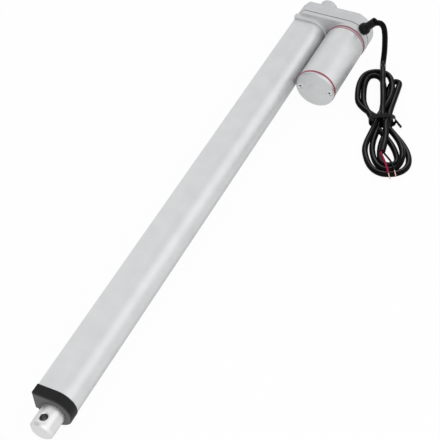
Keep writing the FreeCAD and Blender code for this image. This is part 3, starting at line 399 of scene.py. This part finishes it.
def cap_plastic(name, colour, painted_sheen_colour):
    """Black moulding with smooth sides and a fine-grained front face that is painted greyer as a painted sheen,
    mottled a little by the grain.
    """
    tree = finish(name, gloss=0.2)
    grain = noise(tree, 1800)
    # Painted sheen: the more a face turns towards +X, the greyer it is painted
    front = span(tree, one_axis(tree, "Normal", "X"), 0.6, 0.95)
    share = product(tree, front, span(tree, grain, 0.0, 1.0, 0.8, 1.0))
    feed(tree, "Base Color", blend(tree, share, colour, painted_sheen_colour))
    sheen_range(tree, grain, 0.45, 0.6)
    relief(tree, grain, 0.01 * MM)


def jacket(name, colour, roughness, highlight_lift):
    """Extruded insulation with faint lines along the cord, and a painted highlight: a paler line along the top of
    the cord.
    """
    tree = finish(name, gloss=0.04)
    lines = noise(tree, 40, (1, 12, 1), coordinate="UV")
    # Painted highlight: faces turned straight up are coloured paler, broken up by a noise
    top = span(tree, one_axis(tree, "Normal", "Z"), 0.94, 1.0, shape="SMOOTHSTEP")
    painted_highlight = product(tree, top, noise(tree, 90))
    feed(tree, "Base Color", blend(tree, painted_highlight, colour, [c * 0.8 + highlight_lift for c in colour]))
    sheen_range(tree, lines, roughness * 0.85, roughness * 1.15)
    relief(tree, lines, 0.01 * MM)


def inside_radius(tree, middle, flat, radius):
    """A mask that is 1 within a radius of a line, which runs along the axis that flat leaves out."""
    place = add_node(tree, "ShaderNodeMapping", {
        "Vector": add_node(tree, "ShaderNodeTexCoord").outputs["Object"],
        "Location": [-m * f for m, f in zip(middle, flat)], "Scale": flat})
    reach = add_node(tree, "ShaderNodeVectorMath", {0: place.outputs["Vector"]}, operation="LENGTH")
    return span(tree, reach.outputs["Value"], radius + RADIUS_FADE, radius)


def behind(tree, level):
    """A mask that is 1 behind a level along X."""
    return span(tree, one_axis(tree, "Object", "X"), level, level - LEVEL_FADE)


def recolour(tree, mask, colour):
    """Change the base colour where a mask is 1."""
    base = tree.nodes["Principled BSDF"].inputs["Base Color"]
    mix = add_node(tree, "ShaderNodeMix", {
        "Factor": mask, "A": base.links[0].from_socket, "B": (*colour, 1)}, data_type="RGBA")
    feed(tree, "Base Color", mix.outputs["Result"])


def all_finishes(colours):
    """Make every finish of the actuator."""
    worked_metal("tube_anodised", colours.tube, 0.48, 5200, (0.25, 1, 1), 0.004 * MM, edge=0.35, metallic=0.8)
    worked_metal("cast_aluminium", colours.casting, 0.5, 2600, height=0.012 * MM, spread=0.04, metallic=0.4)
    worked_metal("motor_shell", colours.motor, 0.52, 4200, DRAWN, 0.003 * MM, edge=0.6, metallic=0.7)
    worked_metal("motor_disc", colours.disc, 0.42, 3600, height=0.006 * MM)
    rod = worked_metal("rod_steel", colours.rod, 0.42, 5000, (1, 0.1, 0.1), 0.002 * MM, 0.02)
    # Painted shade: the wall of the cross hole is coloured darker
    recolour(rod, inside_radius(rod, (ROD_HOLE, 0, 0), (1, 1, 0), ROD_HOLE_RADIUS), HOLE_PAINTED_SHADE)
    worked_metal("bright_screws", ZINC, 0.22, 4000, height=0.004 * MM)
    screws = worked_metal("tie_screws", ZINC, 0.3, 4000, height=0.004 * MM)
    # Painted shade: below that depth the motor screws are coloured darker
    recolour(screws, behind(screws, TIE_FRONT - SOCKET_SHADE), SOCKET_PAINTED_SHADE)
    worked_metal("gear_steel", (0.5, 0.5, 0.51), 0.34, 3000, DRAWN, 0.006 * MM)
    worked_metal("bearing_steel", (0.7, 0.7, 0.72), 0.16, 3000, height=0.001 * MM)
    worked_metal("bronze", (0.6, 0.42, 0.2), 0.5, 2400, spread=0.1)
    worked_metal("motor_iron", (0.25, 0.25, 0.27), 0.5, 2400, spread=0.1)
    worked_metal("copper", (0.72, 0.38, 0.2), 0.3, 2400, spread=0.08)
    worked_metal("tinned_copper", (0.85, 0.62, 0.5), 0.35, 6000, spread=0.1)
    moulded("black_plastic", colours.cap, 0.46, gloss=0.3)
    cap_plastic("cap_plastic", colours.cap, colours.cap_front_painted_sheen)
    rings = moulded("red_seal", colours.ring, 0.42, 1800, 0.01 * MM)
    # Painted highlight: below the lips' radius the rings are coloured a pale pink-red
    recolour(rings, inside_radius(rings, (0, MOTOR_MIDDLE, 0), (0, 1, 1), RING_VALLEY), colours.ring_valley_highlight)
    moulded("dark_gasket", (0.012, 0.012, 0.012), 0.8, gloss=0.2)
    moulded("gasket_bead", (0.1, 0.1, 0.1), 0.8, gloss=0.2)
    # The wiper takes the grey of the cap front's painted sheen as its colour
    moulded("wiper_rubber", colours.cap_front_painted_sheen, 0.6, gloss=0.2)
    moulded("grommet_rubber", colours.jacket, 0.42, gloss=0.16)
    moulded("gear_plastic", (0.8, 0.78, 0.7), 0.45, 1500, 0.01 * MM, 0.04)
    moulded("carbon", (0.05, 0.05, 0.05), 0.6)
    moulded("circuit_board", (0.03, 0.2, 0.07), 0.35)
    moulded("switch_button", (0.7, 0.1, 0.06), 0.4)
    # The last number is how much paler the painted highlight along each cord's top is
    jacket("cable_jacket", colours.jacket, 0.25, 0.12)
    jacket("black_insulation", colours.jacket, 0.4, 0.08)
    jacket("red_insulation", colours.red_lead, 0.32, 0.05)


def finish_named(name):
    return bpy.data.materials[f"{name}_finish"]


# Meshes and curves
def link_object(name, data):
    """A new object in the scene."""
    item = bpy.data.objects.new(name, data)
    bpy.context.scene.collection.objects.link(item)
    return item


def add_piece(name, data, material):
    """A new piece at the origin with one material."""
    data.materials.append(finish_named(material))
    return link_object(name, data)


def cord_curve(name, points, diameter, material):
    """A round cord on one smooth spline with the given control points, in millimetres."""
    data = bpy.data.curves.new(name, "CURVE")
    data.dimensions = "3D"
    data.bevel_depth = diameter / 2
    data.bevel_resolution = 5
    data.use_fill_caps = True
    data.resolution_u = 10
    spline = data.splines.new("NURBS")
    spline.points.add(len(points) - 1)
    for point, place in zip(spline.points, points):
        point.co = (*(Vector(place) * MM), 1)
    spline.order_u = 3
    spline.use_endpoint_u = True
    return add_piece(name, data, material)


def spline_length(piece):
    """Length of a cord's own line, measured on a copy without its thickness."""
    bare = bpy.data.objects.new("bare_line", piece.data.copy())
    bare.data.bevel_depth = 0
    points = [v.co for v in bpy.data.meshes.new_from_object(bare).vertices]
    bpy.data.curves.remove(bare.data)
    return sum((b - a).length for a, b in zip(points, points[1:]))


def heading(degrees):
    return Vector((math.cos(math.radians(degrees)), math.sin(math.radians(degrees))))


def to_the_right(way):
    """The level direction across a heading, on the side away from the tube."""
    across = Vector((-way.y, way.x))
    return across if across.y > 0 else -across


def lane_point(lane):
    """Where one strand passes through the tie."""
    across, height = lane
    middle = TIE_MIDDLE + to_the_right(heading(TIE_HEADING)) * across
    return (middle.x, middle.y, FLOOR / MM + height)


def bight_side(way, length, middle, side, top_height, lane):
    """Points of one side of a bight, from the tie to just short of its top."""
    width, widest, height = side
    right = to_the_right(way)
    lane_way = to_the_right(heading(TIE_HEADING))
    points = []
    for k in range(1, SIDE_POINTS + ROUND_POINTS):
        v = min(k / SIDE_POINTS, 1)
        turned = math.pi / 2 * max(k - SIDE_POINTS, 0) / ROUND_POINTS
        along = widest * v + (1 - widest) * math.sin(turned) ** ROUND_FULLNESS
        across = (width * math.sin(math.pi / 2 * v) ** SIDE_FULLNESS
                  + (middle - width) * (1 - math.cos(turned) ** ROUND_FULLNESS))
        tied = (1 - v) ** 2
        level = height + (top_height - height) * math.sin(turned) ** 2
        spot = TIE_MIDDLE + way * (length * along) + right * across + lane_way * (lane[0] * tied)
        points.append((spot.x, spot.y, FLOOR / MM + level + (lane[1] - level) * tied))
    return points


def bight(spec, first_lane, last_lane):
    """Points of one bight of the hank, from the tie out to its round top and back to the tie."""
    turn, length, start, end, top_height = spec
    way = heading(turn)
    middle = (start[0] + end[0]) / 2
    top = TIE_MIDDLE + way * length + to_the_right(way) * middle
    out = bight_side(way, length, middle, start, top_height, first_lane)
    back = bight_side(way, length, middle, end, top_height, last_lane)
    return out + [(top.x, top.y, FLOOR / MM + top_height)] + back[::-1]


def hank_points():
    """The hank's strands in order: each pass through the tie and each bight."""
    points = []
    for spec, first_lane, last_lane in zip(BIGHTS, LANES, LANES[1:]):
        points.append(lane_point(first_lane))
        points += bight(spec, first_lane, last_lane)
    points.append(lane_point(LANES[-1]))
    return points


def skin(mesh, rings):
    """Faces between rings of points, each with as many, and over both ends."""
    for first, second in zip(rings, rings[1:]):
        for i in range(len(first)):
            j = (i + 1) % len(first)
            mesh.faces.new((first[i], first[j], second[j], second[i]))
    mesh.faces.new(reversed(rings[0]))
    mesh.faces.new(rings[-1])


def sweep_strip(mesh, path, outward, width, thickness):
    """Add a flat strip with rounded edges along a path, its flat side facing outward."""
    rings = []
    last = len(path) - 1
    for i, (point, out) in enumerate(zip(path, outward)):
        along = (path[min(i + 1, last)] - path[max(i - 1, 0)]).normalized()
        across = along.cross(out).normalized()
        up = across.cross(along)
        rings.append([mesh.verts.new(point + across * (a * width) + up * (b * thickness))
                      for a, b in STRIP_SECTION])
    skin(mesh, rings)


def mesh_piece(name, mesh, material):
    """A piece from a finished bmesh, smooth except at its sharp edges."""
    bmesh.ops.recalc_face_normals(mesh, faces=mesh.faces)
    data = bpy.data.meshes.new(name)
    mesh.to_mesh(data)
    mesh.free()
    soften(data)
    return add_piece(name, data, material)


def lathe(name, section, axis, material, around):
    """A piece turned about a line along X through axis, from its half section in x and radius."""
    mesh = bmesh.new()
    points = [mesh.verts.new((x, axis.y + r, axis.z)) for x, r in section]
    lines = [mesh.edges.new(pair) for pair in zip(points, points[1:])]
    bmesh.ops.spin(mesh, geom=points + lines, cent=axis, axis=(1, 0, 0), angle=2 * math.pi, steps=around,
                   use_merge=True)
    bmesh.ops.remove_doubles(mesh, verts=mesh.verts, dist=1e-7)
    return mesh_piece(name, mesh, material)


def soften(data):
    """Smooth faces with the edges beyond a third of a right angle kept sharp."""
    data.polygons.foreach_set("use_smooth", [True] * len(data.polygons))
    data.set_sharp_from_angle(angle=math.radians(30))


def settle(piece):
    """Put a piece's modifiers into its mesh."""
    graph = bpy.context.evaluated_depsgraph_get()
    data = bpy.data.meshes.new_from_object(piece.evaluated_get(graph))
    piece.modifiers.clear()
    piece.data = data
    soften(data)


def carve(piece, cutter):
    """Cut one piece with another, which is then removed."""
    step = piece.modifiers.new("carve", "BOOLEAN")
    step.operation = "DIFFERENCE"
    step.solver = "EXACT"
    step.object = cutter
    settle(piece)
    bpy.data.objects.remove(cutter)


# Geometry nodes
def screw_tree():
    """A node group that stands a socket screw on every point, its head facing along X."""
    tree = bpy.data.node_groups.new("socket_screws", "GeometryNodeTree")
    tree.interface.new_socket("Points", in_out="INPUT", socket_type="NodeSocketGeometry")
    for name in SCREW_SIZES:
        tree.interface.new_socket(name, in_out="INPUT", socket_type="NodeSocketFloat")
    tree.interface.new_socket("Finish", in_out="INPUT", socket_type="NodeSocketMaterial")
    tree.interface.new_socket("Screws", in_out="OUTPUT", socket_type="NodeSocketGeometry")
    given = add_node(tree, "NodeGroupInput").outputs

    def column(sides, radius, depth, middle):
        """An upright prism with its middle at a height."""
        solid = add_node(tree, "GeometryNodeMeshCylinder", {"Vertices": sides, "Radius": radius, "Depth": depth})
        place = add_node(tree, "ShaderNodeCombineXYZ", {"Z": middle})
        return add_node(tree, "GeometryNodeTransform", {
            "Geometry": solid.outputs["Mesh"], "Translation": place.outputs["Vector"]}).outputs["Geometry"]

    head = column(40, given["Head radius"], given["Head height"], product(tree, given["Head height"], 0.5))
    key = column(6, given["Key radius"], product(tree, given["Key depth"], 2), given["Head height"])
    shank = column(24, given["Shank radius"], given["Shank length"], product(tree, given["Shank length"], -0.5))
    socket = add_node(tree, "GeometryNodeMeshBoolean", {"Mesh 1": head, "Mesh 2": key}, operation="DIFFERENCE")
    joined = add_node(tree, "GeometryNodeJoinGeometry", {"Geometry": socket.outputs["Mesh"]})
    tree.links.new(shank, joined.inputs["Geometry"])
    turn = add_node(tree, "ShaderNodeCombineXYZ", {"Y": given["Facing"]})
    stand = add_node(tree, "GeometryNodeInstanceOnPoints", {
        "Points": given["Points"], "Instance": joined.outputs["Geometry"], "Rotation": turn.outputs["Vector"]})
    real = add_node(tree, "GeometryNodeRealizeInstances", {"Geometry": stand.outputs["Instances"]})
    coat = add_node(tree, "GeometryNodeSetMaterial", {
        "Geometry": real.outputs["Geometry"], "Material": given["Finish"]})
    add_node(tree, "NodeGroupOutput", {"Screws": coat.outputs["Geometry"]})
    return tree


# Pieces
class ACTUATOR_OT_finishes(bpy.types.Operator):
    """Make the finishes and give every piece of the frame its own"""
    bl_idname = "actuator.finishes"
    bl_label = "Finishes"

    def execute(self, context):
        all_finishes(context.scene.actuator_colours)
        slots = {part["node"]: part["material_slot"] for part in frame["record"]["subparts"]}
        for name, node in frame["nodes"].items():
            chosen = OWN_FINISH.get(name, slots[name])
            node.data.materials.clear()
            node.data.materials.append(finish_named(chosen))
        return {"FINISHED"}


class ACTUATOR_OT_cable(bpy.types.Operator):
    """Lay the cable from the grommet through the tied hank to its tail, with its leads"""
    bl_idname = "actuator.cable"
    bl_label = "Cable"

    def execute(self, context):
        sizes = context.scene.actuator_cable
        leads = []
        for colour, route, tip_route, slot, material in (
                ("red", RED_ROUTE, RED_TIP, "red_insulation", "red_insulation"),
                ("black", BLACK_ROUTE, BLACK_TIP, "cable_jacket", "black_insulation")):
            lead = cord_curve(f"{colour}_lead_wire", route, sizes.lead_diameter, material)
            tip = cord_curve(f"{colour}_lead_tip", tip_route, sizes.core_diameter, "tinned_copper")
            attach(lead, "housing")
            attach(tip, "housing")
            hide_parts(f"{colour}_lead")
            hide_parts(f"{colour}_tip")
            leads.append((lead, tip, route))
        cable = cord_curve("cable_jacket_run", CABLE_ROUTE + MAIN_ROUTE + hank_points() + TAIL_ROUTE,
                           sizes.cable_diameter, "cable_jacket")
        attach(cable, "housing")
        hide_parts("cable", "cable_hank", "cable_tail")
        bpy.ops.actuator.twist_tie()
        round(spline_length(cable), 2)
        for lead, tip, route in leads:
            max(0.03, round(spline_length(lead), 3))
        return {"FINISHED"}


class ACTUATOR_OT_twist_tie(bpy.types.Operator):
    """Wrap the tie twice round the hank and twist its ends together"""
    bl_idname = "actuator.twist_tie"
    bl_label = "Twist tie"

    def execute(self, context):
        sizes = context.scene.actuator_cable
        along = Vector((*heading(TIE_HEADING), 0))
        across = Vector((*to_the_right(heading(TIE_HEADING)), 0))
        up = Vector((0, 0, 1))
        half_wide, half_tall = TIE_HALF_WIDTH * MM, TIE_HALF_HEIGHT * MM
        middle = Vector((*(TIE_MIDDLE * MM), FLOOR + half_tall + sizes.tie_thickness))

        def squared(share):
            return math.copysign(abs(share) ** TIE_SQUARENESS, share)

        path, outward = [], []
        for k in range(TIE_STEPS + 1):
            turn = 2 * math.pi * TIE_TURNS * k / TIE_STEPS
            rise = (k / TIE_STEPS - 0.5) * TIE_REACH
            outward.append(across * math.cos(turn) + up * math.sin(turn))
            wide, tall = half_wide * squared(math.cos(turn)), half_tall * squared(math.sin(turn))
            path.append(middle + across * wide + up * tall + along * rise)
        mesh = bmesh.new()
        sweep_strip(mesh, path, outward, sizes.tie_width, sizes.tie_thickness)
        start = middle + across * half_wide
        way = (across * TWIST_WAY[0] + along * TWIST_WAY[1] + up * TWIST_WAY[2]).normalized()
        side = way.cross(up).normalized()
        top = side.cross(way)
        path, outward = [], []
        for k in range(TWIST_STEPS + 1):
            turn = 2 * math.pi * TWIST_TURNS * k / TWIST_STEPS
            path.append(start + way * (sizes.tie_tail * k / TWIST_STEPS))
            outward.append(side * math.cos(turn) + top * math.sin(turn))
        sweep_strip(mesh, path, outward, sizes.tie_width, sizes.tie_thickness * TWIST_THICKER)
        tie = mesh_piece("twist_tie_strip", mesh, "grommet_rubber")
        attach(tie, "housing")
        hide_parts("twist_tie")
        return {"FINISHED"}


class ACTUATOR_OT_rod(bpy.types.Operator):
    """Turn the polished rod and drill its countersunk pin hole"""
    bl_idname = "actuator.rod"
    bl_label = "Rod"

    def execute(self, context):
        sizes = context.scene.actuator_rod
        low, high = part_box("rod_tube")
        plug_low, plug_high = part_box("rod_end_plug")
        radius = high.z
        bore = radius - sizes.wall
        tip, rear = plug_high.x, low.x
        # Rings of points close together round the hole keep the faces that the drill cuts small
        step, count = 0.5 * MM, 10
        near = [ROD_HOLE + k * step for k in range(-count, count + 1)]
        outer = [(x, radius) for x in near if x < tip - sizes.chamfer]
        section = [(plug_low.x, 0), (plug_low.x, bore), (rear, bore), (rear, radius), *outer,
                   (tip - sizes.chamfer, radius), (tip, radius - sizes.chamfer), (tip, 0)]
        rod = lathe("rod_polished", section, Vector(), "rod_steel", around=144)
        sink = sizes.countersink
        mouth = ROD_HOLE_RADIUS + 2 * sink
        drill = [(-radius - sink, 0), (-radius - sink, mouth), (sink - radius, ROD_HOLE_RADIUS),
                 (radius - sink, ROD_HOLE_RADIUS), (radius + sink, mouth), (radius + sink, 0)]
        cutter = lathe("rod_drill", drill, Vector(), "rod_steel", around=64)
        cutter.data.transform(Matrix.Translation((ROD_HOLE, 0, 0)) @ Matrix.Rotation(-math.pi / 2, 4, "Y"))
        carve(rod, cutter)
        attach(rod, "rod")
        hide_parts("rod_tube", "rod_end_plug")
        return {"FINISHED"}


class ACTUATOR_OT_gasket(bpy.types.Operator):
    """Squeeze the gearbox's gasket out to the faces of the castings"""
    bl_idname = "actuator.gasket"
    bl_label = "Gearbox gasket"

    def execute(self, context):
        sizes = context.scene.actuator_gasket
        mesh = bmesh.new()
        mesh.from_mesh(frame["nodes"]["gearbox_gasket"].data)
        bmesh.ops.remove_doubles(mesh, verts=mesh.verts, dist=1e-6)
        mesh.normal_update()
        for vertex in mesh.verts:
            vertex.co += Vector((0, *vertex.normal.yz)).normalized() * sizes.outward
            vertex.co.x += math.copysign(sizes.sideways, vertex.normal.x)
        gasket = mesh_piece("gearbox_gasket_bead", mesh, "gasket_bead")
        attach(gasket, "housing")
        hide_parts("gearbox_gasket")
        return {"FINISHED"}


class ACTUATOR_OT_wiper(bpy.types.Operator):
    """Turn the rod's wiper with its lip in the mouth of the cap"""
    bl_idname = "actuator.wiper"
    bl_label = "Rod wiper"

    def execute(self, context):
        low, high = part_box("rod_wiper_seal")
        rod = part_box("rod_tube")[1].z
        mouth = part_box("front_cap")[1].x
        outer = high.z
        play, set_back, bevel, outer_bevel = 0.05 * MM, 0.3 * MM, 0.5 * MM, 0.4 * MM
        bore, lip = rod + play, mouth - set_back
        section = [(low.x, bore), (low.x, outer), (lip - bevel, outer), (lip, outer - outer_bevel),
                   (lip, bore + bevel), (lip - bevel, bore), (low.x, bore)]
        wiper = lathe("rod_wiper", section, Vector(), "wiper_rubber", around=96)
        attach(wiper, "housing")
        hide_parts("rod_wiper_seal")
        return {"FINISHED"}


class ACTUATOR_OT_rings(bpy.types.Operator):
    """Turn the motor's two red rings, the wide one with two lips"""
    bl_idname = "actuator.rings"
    bl_label = "Motor rings"

    def execute(self, context):
        sizes = context.scene.actuator_motor
        for node in ("motor_rear_seal", "motor_front_seal"):
            low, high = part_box(node)
            radius = (high.z - low.z) / 2
            depth, round_over = 1.0 * MM, 0.25 * MM
            inner = radius - depth
            has_lips = high.x - low.x > 3 * sizes.lip
            if not has_lips:
                radius += sizes.bead / 2
                high.x += sizes.bead
            section = [(low.x, inner), (low.x, radius - round_over), (low.x + round_over, radius)]
            if has_lips:
                valley = radius - sizes.valley
                section += [(low.x + sizes.lip - round_over, radius), (low.x + sizes.lip, valley),
                            (high.x - sizes.lip, valley), (high.x - sizes.lip + round_over, radius)]
            section += [(high.x - round_over, radius), (high.x, radius - round_over), (high.x, inner),
                        (low.x, inner)]
            middle = Vector((0, (low.y + high.y) / 2, 0))
            ring = lathe(f"{node}_ring", section, middle, "red_seal", around=128)
            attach(ring, "housing")
            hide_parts(node)
        return {"FINISHED"}


class ACTUATOR_OT_motor_disc(bpy.types.Operator):
    """Turn the motor's end disc with its rim, plain boss and screw recesses"""
    bl_idname = "actuator.motor_disc"
    bl_label = "Motor end disc"

    def execute(self, context):
        sizes, screws = context.scene.actuator_motor, context.scene.actuator_screws
        low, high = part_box("motor_end_cap")
        bush_low, bush_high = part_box("motor_front_bush")
        middle = Vector((0, (low.y + high.y) / 2, 0))
        radius = (high.z - low.z) / 2
        bush = (bush_high.z - bush_low.z) / 2
        hub_wall, past, edge, flare = 2.0 * MM, 1.0 * MM, 0.3 * MM, 1.3 * MM
        hub = bush + hub_wall
        front, rear = high.x - sizes.boss_height, bush_high.x
        section = [(high.x, 0), (high.x, sizes.boss - sizes.boss_height), (front, sizes.boss),
                   (front, radius - sizes.rim), (front - sizes.rim, radius), (rear, radius), (rear, hub),
                   (low.x, hub), (low.x, bush), (rear, bush), (rear, 0)]
        disc = lathe("motor_end_disc", section, middle, "motor_disc", around=128)
        sink = front - screws.tie_sink
        shank, head = screws.tie_shank, screws.tie_head
        drill = [(rear - past, 0), (rear - past, shank), (sink, shank), (sink, head), (front - edge, head),
                 (front + past, head + flare), (front + past, 0)]
        for across, up in TIE_SCREWS:
            carve(disc, lathe("disc_drill", drill, Vector((0, across * MM, up * MM)), "motor_disc", around=48))
        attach(disc, "housing")
        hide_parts("motor_end_cap")
        return {"FINISHED"}


class ACTUATOR_OT_screws(bpy.types.Operator):
    """Set the gearbox's four screws and the motor's two screws"""
    bl_idname = "actuator.screws"
    bl_label = "Screws"

    def execute(self, context):
        sizes = context.scene.actuator_screws
        tree = screw_tree()
        low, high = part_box("gearbox_screws")
        seat = low.x + sizes.case_head_height
        self.screws(tree, "gearbox_screws", seat, CASE_SCREWS, "bright_screws", (
            sizes.case_head, sizes.case_head_height, sizes.case_head * CASE_KEY[0],
            sizes.case_head_height * CASE_KEY[1], sizes.case_shank, high.x - seat, -math.pi / 2))
        low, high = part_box("motor_tie_screws")
        seat = high.x - sizes.tie_sink
        self.screws(tree, "motor_tie_screws", seat, TIE_SCREWS, "tie_screws", (
            sizes.tie_head - TIE_HEAD_PLAY, sizes.tie_head_height, sizes.tie_head * TIE_KEY[0],
            sizes.tie_head_height * TIE_KEY[1], sizes.tie_shank, seat - low.x, math.pi / 2))
        return {"FINISHED"}

    def screws(self, tree, node, seat, places, material, sizes):
        """One mesh of like screws, their heads on a seat along X, standing for a node."""
        points = bpy.data.meshes.new(f"{node}_places")
        points.from_pydata([(seat, across * MM, up * MM) for across, up in places], [], [])
        piece = link_object(f"{node}_set", points)
        step = piece.modifiers.new("screws", "NODES")
        step.node_group = tree
        given = {"Finish": finish_named(material), **dict(zip(SCREW_SIZES, sizes))}
        for item in tree.interface.items_tree:
            if item.name in given:
                step[item.identifier] = given[item.name]
        settle(piece)
        if len(piece.data.polygons) == 0:
            raise RuntimeError(f"no screws for {node}")
        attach(piece, "housing")
        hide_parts(node)


class ACTUATOR_OT_thread(bpy.types.Operator):
    """Cut the trapezoidal thread of the lead screw"""
    bl_idname = "actuator.thread"
    bl_label = "Lead screw thread"

    def execute(self, context):
        sizes = context.scene.actuator_thread
        low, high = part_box("lead_screw")
        guide_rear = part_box("spindle_end_guide")[0].x
        retainer_gap, tip, around = 2 * MM, 0.4 * MM, 24
        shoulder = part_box("bearing_retainer")[1].x + retainer_gap
        crest = (high.z - low.z) / 2
        root = crest - sizes.depth
        journal = crest * 2 / 3
        mesh = bmesh.new()
        rings = []

        def ring(x, radius, rise=0.0):
            """A ring of points that rises along X as it goes round."""
            turns = [2 * math.pi * k / around for k in range(around)]
            rings.append([mesh.verts.new((x + rise * k / around, radius * math.cos(turn), radius * math.sin(turn)))
                          for k, turn in enumerate(turns)])

        for x, radius in ((low.x, tip), (low.x, journal), (shoulder, journal), (shoulder, root)):
            ring(x, radius)
        for n in range(int((guide_rear - shoulder) / sizes.lead) - 1):
            for share, height in THREAD_PROFILE:
                ring(shoulder + sizes.lead * (n + share), crest if height else root, sizes.lead)
        for x, radius in ((guide_rear, root), (guide_rear, journal), (high.x, journal), (high.x, tip)):
            ring(x, radius)
        skin(mesh, rings)
        screw = mesh_piece("lead_screw_thread", mesh, "gear_steel")
        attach(screw, "spindle")
        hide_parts("lead_screw")
        return {"FINISHED"}


class ACTUATOR_OT_stage(bpy.types.Operator):
    """Set the camera, the white floor and the lights"""
    bl_idname = "actuator.stage"
    bl_label = "Stage"

    def execute(self, context):
        stage = context.scene.actuator_stage
        scene = context.scene
        scene.view_settings.view_transform = "Standard"
        self.camera(scene, stage)
        self.floor(stage)
        self.world(scene, stage)
        self.softbox()
        return {"FINISHED"}

    def camera(self, scene, stage):
        a, e, r = stage.azimuth, stage.elevation, stage.roll
        back = Vector((math.sin(a) * math.cos(e), -math.cos(a) * math.cos(e), math.sin(e)))
        level = Vector((0, 0, 1)).cross(back).normalized()
        upright = back.cross(level)
        right = level * math.cos(r) + upright * math.sin(r)
        up = upright * math.cos(r) - level * math.sin(r)
        data = bpy.data.cameras.new("camera")
        data.lens = stage.lens
        data.sensor_width = SENSOR_WIDTH
        camera = link_object("camera", data)
        turn = Matrix((right, up, back)).transposed().to_4x4()
        camera.matrix_world = Matrix.Translation(Vector(stage.place)) @ turn
        scene.camera = camera

    def floor(self, stage):
        """A paper floor that the camera sees as nearly plain white and metal as a little darker."""
        mesh = bmesh.new()
        bmesh.ops.create_grid(mesh, x_segments=1, y_segments=1, size=FLOOR_HALF_WIDTH)
        data = bpy.data.meshes.new("floor")
        mesh.to_mesh(data)
        mesh.free()
        data.transform(Matrix.Translation((0, 0, FLOOR - FLOOR_GAP)))
        floor = link_object("floor", data)
        material = bpy.data.materials.new("white_floor")
        material.use_nodes = True
        tree = material.node_tree
        tree.nodes.clear()
        paper = add_node(tree, "ShaderNodeBsdfDiffuse", {"Color": PAPER})
        white = add_node(tree, "ShaderNodeEmission", {"Strength": 1})
        path = add_node(tree, "ShaderNodeLightPath").outputs
        share = 0
        for ray, white_share in (("Is Camera Ray", stage.whiteness), ("Is Glossy Ray", stage.reflected_whiteness),
                                 ("Is Transmission Ray", stage.whiteness)):
            share = add_node(tree, "ShaderNodeMath", {0: path[ray], 1: white_share, 2: share},
                             operation="MULTIPLY_ADD").outputs[0]
        mix = add_node(tree, "ShaderNodeMixShader", {"Fac": share, 1: paper.outputs[0], 2: white.outputs[0]})
        add_node(tree, "ShaderNodeOutputMaterial", {"Surface": mix.outputs[0]})
        data.materials.append(material)

    def world(self, scene, stage):
        """A plain surrounding light with the soft panels added."""
        world = bpy.data.worlds.new("studio")
        world.use_nodes = True
        tree = world.node_tree
        way = add_node(tree, "ShaderNodeTexCoord").outputs["Generated"]
        level = stage.world_level
        for direction, wide, narrow, added in PANELS:
            facing = add_node(tree, "ShaderNodeVectorMath", {0: way, 1: Vector(direction).normalized()},
                              operation="DOT_PRODUCT").outputs["Value"]
            glow = span(tree, facing, math.cos(math.radians(wide)), math.cos(math.radians(narrow)), 0, added,
                        "SMOOTHSTEP")
            level = add_node(tree, "ShaderNodeMath", {0: level, 1: glow}, operation="ADD").outputs[0]
        background = tree.nodes["Background"].inputs
        tree.links.new(level, background["Strength"])
        background["Color"].default_value = (1, 1, 1, 1)
        scene.world = world

    def softbox(self):
        data = bpy.data.lights.new("front_softbox", "AREA")
        data.shape = "RECTANGLE"
        data.size = data.size_y = SOFTBOX_WIDTH
        data.energy = SOFTBOX_POWER
        lamp = link_object("front_softbox", data)
        lamp.location = SOFTBOX_TARGET + SOFTBOX_OFFSET
        lamp.rotation_mode = "QUATERNION"
        lamp.rotation_quaternion = (SOFTBOX_TARGET - lamp.location).to_track_quat("-Z", "Y")


class ACTUATOR_PT_panel(bpy.types.Panel):
    """The actuator's pieces in the sidebar"""
    bl_idname = "ACTUATOR_PT_panel"
    bl_label = "Linear actuator"
    bl_space_type = "VIEW_3D"
    bl_region_type = "UI"
    bl_category = "Actuator"

    def draw(self, context):
        for operator in OPERATORS:
            self.layout.operator(operator.bl_idname)
        for attribute in GROUPS:
            group = getattr(context.scene, attribute)
            for name in group.bl_rna.properties.keys():
                if name not in ("rna_type", "name"):
                    self.layout.prop(group, name)


OPERATORS = (ACTUATOR_OT_finishes, ACTUATOR_OT_cable, ACTUATOR_OT_twist_tie, ACTUATOR_OT_rod, ACTUATOR_OT_gasket,
             ACTUATOR_OT_wiper, ACTUATOR_OT_rings, ACTUATOR_OT_motor_disc, ACTUATOR_OT_screws, ACTUATOR_OT_thread,
             ACTUATOR_OT_stage)
GROUPS = {
    "actuator_cable": CableSizes,
    "actuator_rod": RodSizes,
    "actuator_motor": MotorSizes,
    "actuator_screws": ScrewSizes,
    "actuator_gasket": GasketSizes,
    "actuator_thread": ThreadSizes,
    "actuator_colours": FinishColours,
    "actuator_stage": StageSettings,
}


def register():
    for cls in (*GROUPS.values(), *OPERATORS, ACTUATOR_PT_panel):
        bpy.utils.register_class(cls)
    for name, group in GROUPS.items():
        setattr(bpy.types.Scene, name, bpy.props.PointerProperty(type=group))


def unregister():
    for name in GROUPS:
        delattr(bpy.types.Scene, name)
    for cls in (ACTUATOR_PT_panel, *reversed(OPERATORS), *reversed(GROUPS.values())):
        bpy.utils.unregister_class(cls)


def main():
    register()
    bpy.ops.actuator.finishes()
    bpy.ops.actuator.cable()
    bpy.ops.actuator.rod()
    bpy.ops.actuator.gasket()
    bpy.ops.actuator.wiper()
    bpy.ops.actuator.rings()
    bpy.ops.actuator.motor_disc()
    bpy.ops.actuator.screws()
    bpy.ops.actuator.thread()
    bpy.ops.actuator.stage()


if __name__ == "__main__":
    main()
